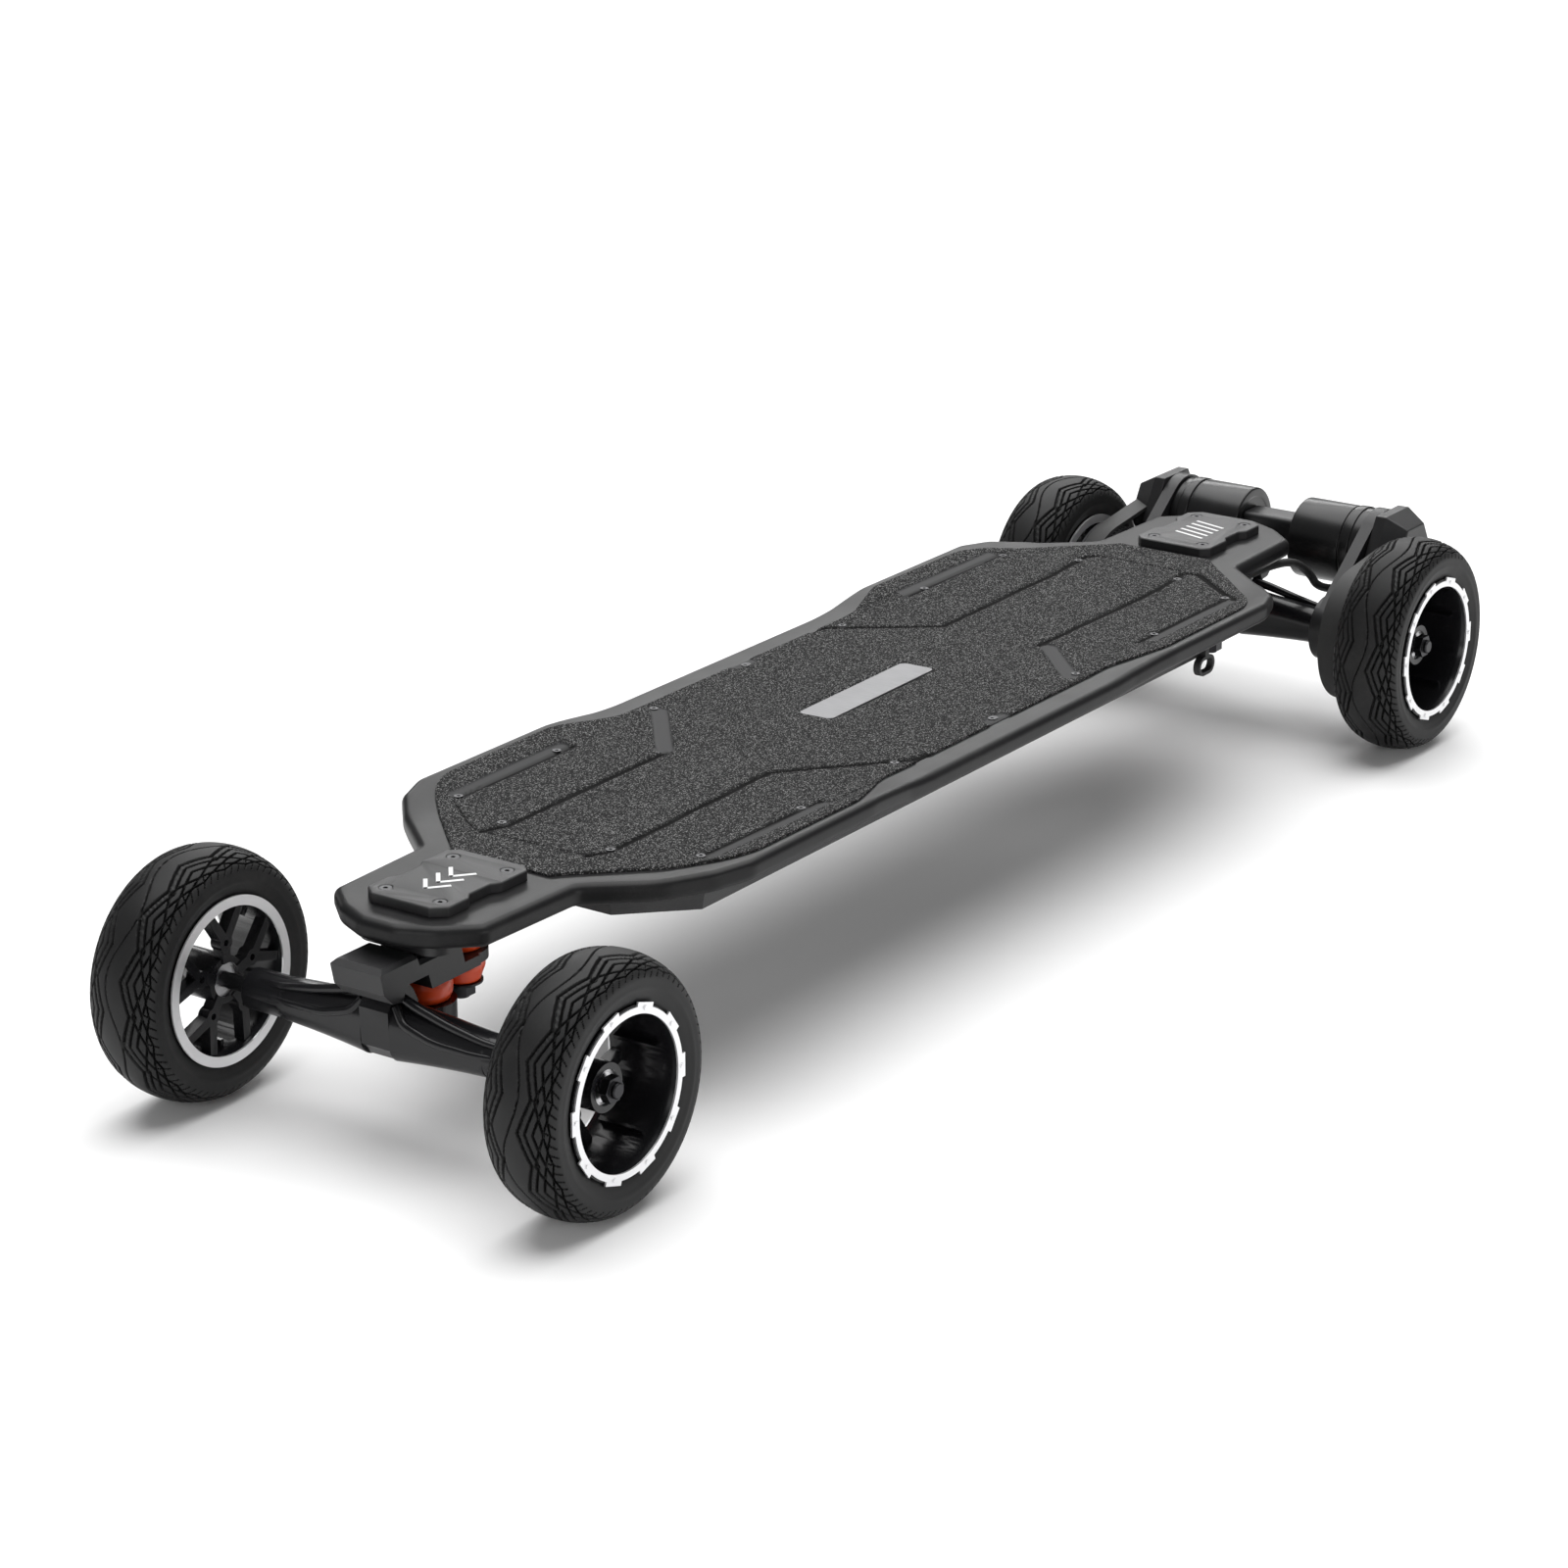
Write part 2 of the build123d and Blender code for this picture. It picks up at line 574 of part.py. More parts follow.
def tyre(frame):
    """A hollow casing with beads against the rim, round outside."""
    half = TYRE_W / 2
    with BuildPart() as body:
        with BuildSketch(section_of(frame)):
            with BuildLine():
                Spline([(54.0, -22.6), (60, -25.4), (67, -half), (74.5, -20.5), (TYRE_R, 0),
                        (74.5, 20.5), (67, half), (60, 25.4), (54.0, 22.6)])
                Polyline((54.0, 22.6), (50.3, 21), (50.3, 15), (56, 16))
                Spline([(56, 16), (66, 20.0), (74.5, 0), (66, -20.0), (56, -16)])
                Polyline((56, -16), (50.3, -15), (50.3, -21), (54.0, -22.6))
            make_face()
        revolve(axis=axis_of(frame))
    return body.part


def hub(frame):
    """A two-flanged barrel on five forked spokes, with ribs down the dish and two bearing seats."""
    with BuildPart() as body:
        with BuildSketch(section_of(frame)):
            outline([(RING_INNER_R, -RIM_HALF), (52.5, -RIM_HALF), (52.5, -22.8), (50, -20.8),
                     (50, 20.8), (52.5, 22.8), (52.5, RIM_HALF), (RING_INNER_R, RIM_HALF),
                     (46.0, 20), (45.5, -18)])
        revolve(axis=axis_of(frame))
        disc(frame, -21.0, BOSS_R, 30.0)
        for i in range(SPOKES):
            turn = 360 / SPOKES * i + 90
            spoke = on(frame, Plane(Location((0, 0, WEB_LOW), (0, 0, turn))))
            with BuildSketch(spoke):
                with Locations((18, 0)):
                    Rectangle(14, 7)
                with Locations((24, 0)):
                    Circle(5.5)
                for fork in (-1, 1):
                    with BuildLine():
                        Polyline((22, fork * 2), (28, -fork * 1.5), (47.6, fork * 12),
                                 (46, fork * 18), (22, fork * 2), close=False)
                    make_face()
            extrude(amount=WEB_HIGH - WEB_LOW)
            rib = on(frame, Plane(Location((0, 0, WEB_HIGH - 1), (0, 0, turn + 36))))
            with BuildSketch(rib):
                with Locations((43.6, 0)):
                    Rectangle(6, 3)
            extrude(amount=30, taper=1.5)
        for start in BEARING_PLACES:
            disc(frame, start, BEARING_R, BEARING_T, Mode.SUBTRACT)
        disc(frame, BEARING_PLACES[1], BEARING_R, 12, Mode.SUBTRACT)
        disc(frame, -23, BEARING_R, 6, Mode.SUBTRACT)
        disc(frame, -24, AXLE_R + 2.5, 48, Mode.SUBTRACT)
        for i in range(SPOKES):
            turn = 360 / SPOKES * i + 90
            hole = on(frame, Plane(Location((0, 0, 0), (0, 0, turn))))
            with BuildSketch(hole.offset(WEB_LOW - 1)):
                with Locations((24, 0)):
                    Circle(2.1)
            extrude(amount=WEB_HIGH - WEB_LOW + 2, mode=Mode.SUBTRACT)
    return body.part


def trim_rings(frame):
    """The bright ring on each face of the rim: plain inside, with ten bolted tabs outside."""
    with BuildPart() as rings:
        with BuildSketch(frame.offset(-RIM_HALF - RING_THICK - 0.1)):
            Circle(RIM_R)
            Circle(RING_INNER_R, mode=Mode.SUBTRACT)
        extrude(amount=RING_THICK)
        with BuildSketch(frame.offset(RIM_HALF + 0.1)):
            Circle(RIM_R - 2.2)
            with PolarLocations(RIM_R - 2.4, 10):
                Rectangle(5, 15)
            Circle(RING_INNER_R, mode=Mode.SUBTRACT)
        extrude(amount=RING_THICK)
        with BuildSketch(frame.offset(RIM_HALF + 0.1 + RING_THICK)):
            with PolarLocations(RIM_R - 3.2, 10):
                Circle(1.5)
        extrude(amount=0.8)
    return rings.part


def bearings(frame):
    with BuildPart() as pair:
        for start in BEARING_PLACES:
            disc(frame, start + 0.1, BEARING_R - RUN, BEARING_T - 0.2)
            disc(frame, start + BEARING_T - 0.6, 9.6, 2, Mode.SUBTRACT)
            disc(frame, start + BEARING_T - 1.0, 9.0, 0.6)
            disc(frame, start - 1, AXLE_R + RUN, 10, Mode.SUBTRACT)
    return pair.part


WHEEL_PITCH_R = WHEEL_TEETH * BELT_PITCH / (2 * pi)
MOTOR_PITCH_R = MOTOR_TEETH * BELT_PITCH / (2 * pi)
PULLEY_FLANGE_R = 49.5


def toothed(plane, low, teeth, pitch_r, depth):
    """A toothed belt pulley's rim: round-bottomed grooves cut along a cylinder."""
    with BuildSketch(plane.offset(low)) as rim:
        Circle(pitch_r - TIP_DROP)
        with PolarLocations(pitch_r - TIP_DROP, teeth):
            Circle(1.4, mode=Mode.SUBTRACT)
    extrude(rim.sketch, amount=depth)


def wheel_pulley(frame):
    """The driven pulley, carried on the hub's inner side."""
    centre = on(frame, Plane(origin=(0, 0, -TRACK / 2)))
    with BuildPart() as body:
        toothed(centre, BELT_INNER - 1, WHEEL_TEETH, WHEEL_PITCH_R, BELT_OUTER - BELT_INNER + 2)
        disc(centre, BELT_OUTER + 1, PULLEY_FLANGE_R, 1.5)
        disc(centre, BELT_OUTER + 2, 30, TRACK / 2 + WEB_LOW - BELT_OUTER - 2.1)
        disc(centre, BELT_INNER - 3, 40, 12, Mode.SUBTRACT)
        disc(centre, BELT_INNER - 3, 16, 40, Mode.SUBTRACT)
    return body.part


for end_name, end in ENDS.items():
    for side_name, side in SIDES.items():
        wheel = wheel_frame(end, side)
        save(tyre(wheel), f"{end_name}_{side_name}_tyre")
        save(hub(wheel), f"{end_name}_{side_name}_hub")
        save(trim_rings(wheel), f"{end_name}_{side_name}_trim_rings")
        save(bearings(wheel), f"{end_name}_{side_name}_bearings")
        if end < 0:
            save(wheel_pulley(wheel), f"{side_name}_wheel_pulley")

# ---- drive ------------------------------------------------------------------------------------
SHAFT_R = 4.0


MOTORS = [motor_frame(side) for side in SIDES.values()]


def wheel_centre(motor):
    """The rear axle's place in a sketch on a motor's frame."""
    return Vector(MOTOR_BACK, motor.y_dir.Z * -MOTOR_UP)


def belt_loop(motor, spare):
    """The shape inside a belt's loop round both pulleys, spare wider than the teeth's tips."""
    with BuildSketch(motor.offset(BELT_INNER)) as loop:
        Circle(MOTOR_PITCH_R - TIP_DROP + spare)
        with Locations(wheel_centre(motor)):
            Circle(WHEEL_PITCH_R - TIP_DROP + spare)
        make_hull()
    return loop.sketch


# A plate from each motor's face to its clamp round the hanger's end.
with BuildPart() as motor_mounts:
    for motor in MOTORS:
        clamp = Plane(motor.location * Location(wheel_centre(motor)))
        with BuildSketch(motor.offset(MOTOR_OUTER + 0.1)):
            with Locations(wheel_centre(motor)):
                Circle(24)
            Circle(32)
            make_hull()
        extrude(amount=MOUNT_OUTER - MOTOR_OUTER - 0.2)
        disc(clamp, MOTOR_OUTER - 3, 24, 19)
        disc(clamp, 60, END_R + RUN, 60, Mode.SUBTRACT)
        disc(motor, 60, 13, 60, Mode.SUBTRACT)
save(motor_mounts.part, "motor_mounts")

# A six-sided cup over each motor's pulley, open towards the wheel's pulley.
with BuildPart() as belt_covers:
    for motor in MOTORS:
        depth = COVER_OUTER - MOUNT_OUTER
        towards = wheel_centre(motor)
        with BuildSketch(motor.offset(MOUNT_OUTER)):
            RegularPolygon(COVER_CORNER_R, 6)
        extrude(amount=depth)
        with BuildSketch(motor.offset(MOUNT_OUTER)):
            RegularPolygon(COVER_CORNER_R - 4, 6)
        extrude(amount=depth - 3, mode=Mode.SUBTRACT)
        with BuildSketch(motor.offset(MOUNT_OUTER)):
            with Locations(towards * 0.62):
                Rectangle(62, 62, rotation=degrees(atan2(towards.Y, towards.X)))
        extrude(amount=depth - 3, mode=Mode.SUBTRACT)
        with BuildSketch(motor.offset(MOUNT_OUTER - 1)):
            with Locations(towards):
                Circle(PULLEY_FLANGE_R + 2)
        extrude(amount=depth + 2, mode=Mode.SUBTRACT)
save(belt_covers.part, "belt_covers")

with BuildPart() as motor_housings:
    for motor in MOTORS:
        disc(motor, MOTOR_INNER, MOTOR_R, MOTOR_OUTER - MOTOR_INNER)
        disc(motor, MOTOR_INNER + 3, MOTOR_R - 2.2, MOTOR_OUTER - MOTOR_INNER - 5, Mode.SUBTRACT)
        disc(motor, MOTOR_OUTER - 3, SHAFT_R + RUN, 6, Mode.SUBTRACT)
save(motor_housings.part, "motor_housings")

with BuildPart() as motor_stators:
    for motor in MOTORS:
        with BuildSketch(motor.offset(MOTOR_INNER + 17)):
            Circle(24.2)
            with PolarLocations(20, 12):
                Rectangle(9, 2, mode=Mode.SUBTRACT)
            Circle(5.5, mode=Mode.SUBTRACT)
        extrude(amount=30)
        with BuildSketch(motor.offset(MOTOR_INNER + 47)):
            Circle(9)
            Circle(5.5, mode=Mode.SUBTRACT)
        extrude(amount=MOTOR_OUTER - MOTOR_INNER - 49.1)
save(motor_stators.part, "motor_stators")

# Each belt is a closed loop drawn round its two pulleys.
with BuildPart() as drive_belts:
    for motor in MOTORS:
        extrude(belt_loop(motor, 0.3 + BELT_T), amount=BELT_OUTER - BELT_INNER)
        extrude(belt_loop(motor, 0.3), amount=BELT_OUTER - BELT_INNER, mode=Mode.SUBTRACT)
save(drive_belts.part, "drive_belts")

for side_name, side in SIDES.items():
    motor = motor_frame(side)
    with BuildPart() as rotor:
        disc(motor, MOTOR_INNER + 9, 28.2, 46)
        disc(motor, MOTOR_INNER + 12, 25.2, 46, Mode.SUBTRACT)
        disc(motor, MOTOR_INNER + 5, SHAFT_R, BELT_OUTER + 2 - MOTOR_INNER - 5)
    save(rotor.part, f"{side_name}_rotor")
    with BuildPart() as motor_pulley:
        toothed(motor, BELT_INNER - 1, MOTOR_TEETH, MOTOR_PITCH_R, BELT_OUTER - BELT_INNER + 2)
        disc(motor, BELT_INNER - 2.5, 14.5, 1.5)
        disc(motor, BELT_INNER - 7, 9, 5)
        disc(motor, BELT_INNER - 9, SHAFT_R, 40, Mode.SUBTRACT)
    save(motor_pulley.part, f"{side_name}_motor_pulley")

with BuildPart() as motor_bridge:
    with BuildSketch(motor_frame(1).offset(-MOTOR_INNER + 0.1)):
        with Locations((4, -6)):
            RectangleRounded(26, 20, 4)
    extrude(amount=2 * MOTOR_INNER - 0.2)
save(motor_bridge.part, "motor_bridge")

# Each motor's lead runs from a gland under the tail, over the hanger's wing, to its motor.
CABLE_R = 3.4
REAR = truck_frame(-1)
CABLE_ROUTE = [(-112, 46, 130.5), (-70, 46, 130.3), (-30, 47, 130), (4, 49, 126), (24, 53, 112),
               (26, 59, 101), (40, 63, 97.5)]


def cable_wire(side):
    return [REAR.location * Location((x, side * y, z)) for x, y, z in CABLE_ROUTE]


with BuildPart() as motor_cables:
    for side in (-1, 1):
        points = [place.position for place in cable_wire(side)]
        turns = []
        for a, b, c in zip(points, points[1:], points[2:]):
            turn = radians((b - a).get_angle(c - b))
            shorter = min((b - a).length, (c - b).length)
            turns.append(0.45 * shorter / (sin(turn / 2) / cos(turn / 2)))
        with BuildLine() as route:
            FilletPolyline(*points, radius=turns)
        with BuildSketch(Plane(origin=points[0], z_dir=points[1] - points[0])):
            Circle(CABLE_R)
        sweep(path=route.wires()[0])
        print("cable length", round(route.wires()[0].length, 1), "radii", [round(r, 1) for r in turns])
save(motor_cables.part, "motor_cables")

with BuildPart() as cable_glands:
    for side in (-1, 1):
        gland = on(REAR, Plane(origin=(-134, side * 46, 130.5), x_dir=(0, 1, 0), z_dir=(1, 0, 0)))
        disc(gland, 0, 5.4, 16)
        disc(gland, 16, 4.6, 6)
        disc(gland, 0, 3.5, 23, Mode.SUBTRACT)
        disc(gland, 0, 3.5, 21.5)
save(cable_glands.part, "cable_glands")
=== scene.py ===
"""The electric skateboard's looks: its deck, mat, tyres, castings, motors and leads."""
import json
import math

import bmesh
import bpy
import numpy as np
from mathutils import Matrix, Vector


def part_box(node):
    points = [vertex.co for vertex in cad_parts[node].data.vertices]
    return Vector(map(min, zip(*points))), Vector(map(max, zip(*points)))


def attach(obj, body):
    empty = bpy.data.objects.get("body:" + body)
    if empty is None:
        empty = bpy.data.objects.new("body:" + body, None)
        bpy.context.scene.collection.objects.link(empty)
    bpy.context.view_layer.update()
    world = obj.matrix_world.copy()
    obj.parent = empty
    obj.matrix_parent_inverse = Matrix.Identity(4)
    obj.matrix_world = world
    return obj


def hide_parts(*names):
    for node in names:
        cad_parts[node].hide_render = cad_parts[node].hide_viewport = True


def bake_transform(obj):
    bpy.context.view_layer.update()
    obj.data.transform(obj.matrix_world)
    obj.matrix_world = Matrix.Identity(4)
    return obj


bl_info = {
    "name": "Electric skateboard",
    "version": (1, 0, 0),
    "blender": (4, 5, 0),
    "location": "View3D > Sidebar > Skateboard",
    "description": "Builds the electric skateboard's finished pieces around its frame",
    "category": "Add Mesh",
}

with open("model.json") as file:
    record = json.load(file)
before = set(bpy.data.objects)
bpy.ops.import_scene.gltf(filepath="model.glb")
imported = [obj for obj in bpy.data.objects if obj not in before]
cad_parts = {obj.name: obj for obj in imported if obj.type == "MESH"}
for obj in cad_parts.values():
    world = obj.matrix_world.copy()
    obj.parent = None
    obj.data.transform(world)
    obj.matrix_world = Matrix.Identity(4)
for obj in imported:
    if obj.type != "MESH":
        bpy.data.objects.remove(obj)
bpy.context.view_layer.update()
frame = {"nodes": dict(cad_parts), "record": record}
MM = 0.001


def low(node):
    return np.array(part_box(node)[0])


def high(node):
    return np.array(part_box(node)[1])


def middle(node):
    return (low(node) + high(node)) / 2


# ---- places read from the frame ---------------------------------------------------------------
AXLES = {"front": middle("front_axle"), "rear": middle("rear_axle")}
ENDS = {"front": 1, "rear": -1}
SIDES = {"left": 1, "right": -1}
MID_X = (AXLES["front"][0] + AXLES["rear"][0]) / 2
DECK_BOTTOM = low("deck_board")[2]
DECK_TOP = low("nose_plate")[2]
MAT_HALF_LENGTH = (high("grip_mat")[0] - low("grip_mat")[0]) / 2
MAT_THICK = high("centre_badge")[2] - DECK_TOP + 0.2 * MM
TYRE_R = (high("front_left_tyre")[2] - low("front_left_tyre")[2]) / 2
PLATE_TOP = high("nose_plate")[2]
MOTOR_CENTRE = middle("motor_housings")
MOTOR_INNER = high("motor_bridge")[1]


# ---- sizes and colours a user may change ------------------------------------------------------
def length_of(label, words, default):
    return bpy.props.FloatProperty(name=label, description=words, default=default, unit="LENGTH",
                                   precision=4)


def colour_of(label, words, default):
    return bpy.props.FloatVectorProperty(name=label, description=words, default=default, size=3,
                                         subtype="COLOR", min=0, max=1)


class DeckSettings(bpy.types.PropertyGroup):
    wing_start: length_of("Flat half-width", "Half-width of the deck's flat middle", 92 * MM)
    wing_slope: bpy.props.FloatProperty(name="Side slope", default=0.14,
                                        description="Rise of the platform's sides per width")
    rail: length_of("Rail rounding", "Radius of the deck's upper edge", 5.5 * MM)
    rail_under: length_of("Lower rounding", "Radius of the deck's lower edge", 5 * MM)
    groove_depth: length_of("Groove depth", "Depth of the mat's grooves", 1.3 * MM)
    lacquer: colour_of("Lacquer", "Colour of the deck's lacquer", (0.007, 0.007, 0.0075))
    grit: colour_of("Mat", "Colour of the grip mat", (0.018, 0.018, 0.0185))


class WheelSettings(bpy.types.PropertyGroup):
    tread_depth: length_of("Tread depth", "Depth of the tread's grooves", 2.4 * MM)
    tread_blocks: bpy.props.IntProperty(name="Tread blocks", default=12, min=6,
                                        description="Blocks round the tyre")
    rubber: colour_of("Rubber", "Colour of the tyres", (0.007, 0.007, 0.0073))
    ring: colour_of("Ring", "Colour of the bright rings", (0.80, 0.80, 0.81))


class TruckSettings(bpy.types.PropertyGroup):
    edge_round: length_of("Edge rounding", "Rounding of the castings' edges", 0.7 * MM)
    gloss: colour_of("Gloss black", "Colour of hangers and hubs", (0.006, 0.006, 0.007))
    satin: colour_of("Satin black", "Colour of arms and baseplates", (0.011, 0.011, 0.012))
    bushing: colour_of("Bushings", "Colour of the bushings", (0.83, 0.075, 0.012))


class StageSettings(bpy.types.PropertyGroup):
    lens: bpy.props.FloatProperty(name="Focal length", default=101.46, description="Camera lens, mm")
    floor: colour_of("Floor", "Colour of the floor", (0.93, 0.93, 0.93))


SETTINGS = {"deck": DeckSettings, "wheels": WheelSettings, "trucks": TruckSettings,
            "stage": StageSettings}


def settings(name):
    return getattr(bpy.context.scene, f"skateboard_{name}")


# ---- mesh making ------------------------------------------------------------------------------
EDGE_ANGLE = math.radians(32)


def new_piece(name, mesh, body, material, replaces=()):
    """Puts a finished mesh in the scene, with its material, on its body if it has only one."""
    piece = bpy.data.objects.new(name, mesh)
    bpy.context.scene.collection.objects.link(piece)
    mesh.materials.clear()
    mesh.materials.append(material)
    if body:
        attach(piece, body)
    if replaces:
        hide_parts(*replaces)
    return piece


def grid_mesh(name, points, close_rows=False, caps=False, merge=1e-6, crease=35, marks=None):
    """A surface through a grid of points (rows, columns, 3), closed round its columns. Its faces
    join each point to the next in its row and in its column. Its rows are closed round too, or
    its first and last rows filled, if asked. Marks are numbers at its points for a material."""
    rows, columns = points.shape[:2]
    index = np.arange(rows * columns).reshape(rows, columns)
    ends = [index[0].tolist(), index[-1, ::-1].tolist()]
    if close_rows:
        index = np.vstack([index, index[:1]])
    index = np.hstack([index, index[:, :1]])
    quads = np.stack([index[:-1, :-1], index[1:, :-1], index[1:, 1:], index[:-1, 1:]], axis=-1)
    mesh = bpy.data.meshes.new(name)
    faces = quads.reshape(-1, 4).tolist() + (ends if caps else [])
    mesh.from_pydata(points.reshape(-1, 3), [], faces)
    for label, values in (marks or {}).items():
        layer = mesh.attributes.new(label, "FLOAT", "POINT")
        layer.data.foreach_set("value", values.reshape(-1).astype(np.float32))
    return tidy_mesh(mesh, merge, crease)


def tidy_mesh(mesh, merge, crease):
    """Joins doubled points, drops faces of no size, turns normals outwards and smooths the rest."""
    work = bmesh.new()
    work.from_mesh(mesh)
    bmesh.ops.remove_doubles(work, verts=work.verts, dist=merge)
    bmesh.ops.dissolve_degenerate(work, edges=work.edges, dist=merge / 2)
    bmesh.ops.recalc_face_normals(work, faces=work.faces)
    work.to_mesh(mesh)
    work.free()
    mesh.polygons.foreach_set("use_smooth", np.ones(len(mesh.polygons), dtype=bool))
    mesh.set_sharp_from_angle(angle=math.radians(crease))
    mesh.update()
    return mesh


def turned(origin, axis, profile, steps=96):
    """The surface that a profile of (radius, distance along the axis) makes when it is turned."""
    axis = np.array(axis, dtype=float)
    side = np.cross(axis, (0.0, 0.0, 1.0) if abs(axis[2]) < 0.9 else (1.0, 0.0, 0.0))
    side /= np.linalg.norm(side)
    other = np.cross(axis, side)
    turn = np.linspace(0, 2 * np.pi, steps, endpoint=False)[None, :, None]
    radius, reach = np.array(profile, dtype=float).T[:, :, None, None]
    return np.array(origin) + reach * axis + radius * (np.cos(turn) * side + np.sin(turn) * other)


def smooth_profile(points, radius, arc=4):
    """Rounds each corner of an open profile with a short arc of about the given radius."""
    points = np.array(points, dtype=float)
    out = [points[0]]
    for before, corner, after in zip(points[:-2], points[1:-1], points[2:]):
        back, on = before - corner, after - corner
        reach = min(radius, 0.45 * np.linalg.norm(back), 0.45 * np.linalg.norm(on))
        start = corner + back / np.linalg.norm(back) * reach
        end = corner + on / np.linalg.norm(on) * reach
        for t in np.linspace(0, 1, arc):
            out.append((1 - t) ** 2 * start + 2 * t * (1 - t) * corner + t ** 2 * end)
    out.append(points[-1])
    return np.array(out)


def refined(node, material, rounding):
    """A copy of a CAD node with joined faces, smooth curves and rounded edges, in its place."""
    mesh = frame["nodes"][node].data.copy()
    mesh.name = f"{node}_finished"
    work = bmesh.new()
    work.from_mesh(mesh)
    bmesh.ops.remove_doubles(work, verts=work.verts, dist=2e-6)
    bmesh.ops.dissolve_degenerate(work, edges=work.edges, dist=1e-6)
    bmesh.ops.dissolve_limit(work, angle_limit=math.radians(0.6), verts=work.verts,
                             edges=work.edges)
    work.to_mesh(mesh)
    work.free()
    mesh.polygons.foreach_set("use_smooth", np.ones(len(mesh.polygons), dtype=bool))
    mesh.set_sharp_from_angle(angle=EDGE_ANGLE)
    piece = new_piece(mesh.name, mesh, body_of(node), material, [node])
    if rounding:
        soften(piece, rounding)


def soften(piece, width):
    """Rounds a piece's edges where its faces meet at more than the edge angle."""
    bevel = piece.modifiers.new("rounded edges", "BEVEL")
    bevel.width = width
    bevel.segments = 2
    bevel.limit_method = "ANGLE"
    bevel.angle_limit = EDGE_ANGLE
    bevel.harden_normals = True
    bevel.use_clamp_overlap = True


def body_of(node):
    """The body that the record puts a node in."""
    bodies = frame["record"]["behaviour"]["bodies"]
    return next(body for body, nodes in bodies.items() if node in nodes)


# ---- materials --------------------------------------------------------------------------------
def feed(tree, socket, value):
    """Links a socket to another node's output, or sets it to a plain value."""
    if isinstance(value, bpy.types.NodeSocket):
        tree.links.new(value, socket)
    else:
        socket.default_value = value


def node(tree, kind, inputs, **options):
    """A new node with its options set, and its inputs, by name or number, linked or set."""
    made = tree.nodes.new(kind)
    for key, value in options.items():
        setattr(made, key, value)
    for key, value in inputs.items():
        feed(tree, made.inputs[key], value)
    return made


def maths(tree, operation, *values, clamp=False):
    """What a Math node makes of the given sockets or numbers."""
    made = node(tree, "ShaderNodeMath", dict(enumerate(values)), operation=operation,
                use_clamp=clamp)
    return made.outputs[0]


def mixed(tree, factor, first, second):
    """The colour between two colours."""
    made = node(tree, "ShaderNodeMix", {0: factor, 6: first, 7: second}, data_type="RGBA")
    return made.outputs[2]


def mapped(tree, value, given, wanted=(0.0, 1.0)):
    """A value carried from one range to another, and held inside it."""
    ranges = {"From Min": given[0], "From Max": given[1], "To Min": wanted[0], "To Max": wanted[1]}
    return node(tree, "ShaderNodeMapRange", {"Value": value, **ranges}).outputs[0]


def noise(tree, place, **inputs):
    return node(tree, "ShaderNodeTexNoise", {"Vector": place, **inputs}).outputs["Fac"]


def relief(tree, height, strength, distance):
    """The normal that a height gives."""
    inputs = {"Height": height, "Strength": strength, "Distance": distance}
    return node(tree, "ShaderNodeBump", inputs).outputs["Normal"]


def object_place(tree):
    return node(tree, "ShaderNodeTexCoord", {}).outputs["Object"]


def attribute(tree, name):
    return node(tree, "ShaderNodeAttribute", {}, attribute_name=name).outputs["Fac"]


def start_group(name, inputs, outputs):
    """A node group with its sockets, and its input and output nodes."""
    group = bpy.data.node_groups.new(name, "ShaderNodeTree")
    for label, kind, default in inputs:
        made = group.interface.new_socket(name=label, in_out="INPUT",
                                          socket_type=f"NodeSocket{kind}")
        if default is not None:
            made.default_value = default
    for label, kind in outputs:
        group.interface.new_socket(name=label, in_out="OUTPUT", socket_type=f"NodeSocket{kind}")
    return group, group.nodes.new("NodeGroupInput"), group.nodes.new("NodeGroupOutput")


def effect(name, make):
    """A node group by its name, made the first time that it is asked for."""
    return bpy.data.node_groups.get(name) or make()


def grain_group():
    """Fine grain: a small speckle for height, and a broad cloud that shifts colour and gloss."""
    group, source, out = start_group(
        "surface grain",
        [("Vector", "Vector", None), ("Fineness", "Float", 2500.0),
         ("Colour", "Color", (0.02, 0.02, 0.02, 1)), ("Variation", "Float", 0.2),
         ("Roughness", "Float", 0.4), ("Roughness spread", "Float", 0.1)],
        [("Colour", "Color"), ("Roughness", "Float"), ("Height", "Float")])
    given = source.outputs
    speckle = noise(group, given["Vector"], Scale=given["Fineness"], Detail=2.0)
    cloud = noise(group, given["Vector"], Scale=26.0, Detail=5.0, Roughness=0.6)
    centred = maths(group, "SUBTRACT", cloud, 0.5)
    bright = maths(group, "MULTIPLY_ADD", centred, given["Variation"], 1.0)
    tint = node(group, "ShaderNodeVectorMath", {0: given["Colour"], "Scale": bright},
                operation="SCALE")
    rough = maths(group, "MULTIPLY_ADD", centred, given["Roughness spread"], given["Roughness"])
    feed(group, out.inputs["Colour"], tint.outputs[0])
    feed(group, out.inputs["Roughness"], rough)
    feed(group, out.inputs["Height"], speckle)
    return group


def dust_group():
    """Dust and handling: small pale specks and faint smears added to a colour."""
    group, source, out = start_group(
        "light dust",
        [("Vector", "Vector", None), ("Colour", "Color", (0.02, 0.02, 0.02, 1)),
         ("Amount", "Float", 0.1)],
        [("Colour", "Color"), ("Mask", "Float")])
    given = source.outputs
    smear = noise(group, given["Vector"], Scale=9.0, Detail=6.0, Roughness=0.7)
    speck = noise(group, given["Vector"], Scale=900.0, Detail=1.0)
    both = maths(group, "MULTIPLY", mapped(group, smear, (0.52, 0.8)), speck)
    mask = maths(group, "MULTIPLY", both, given["Amount"], clamp=True)
    feed(group, out.inputs["Colour"], mixed(group, mask, given["Colour"], (0.32, 0.31, 0.30, 1)))
    feed(group, out.inputs["Mask"], mask)
    return group


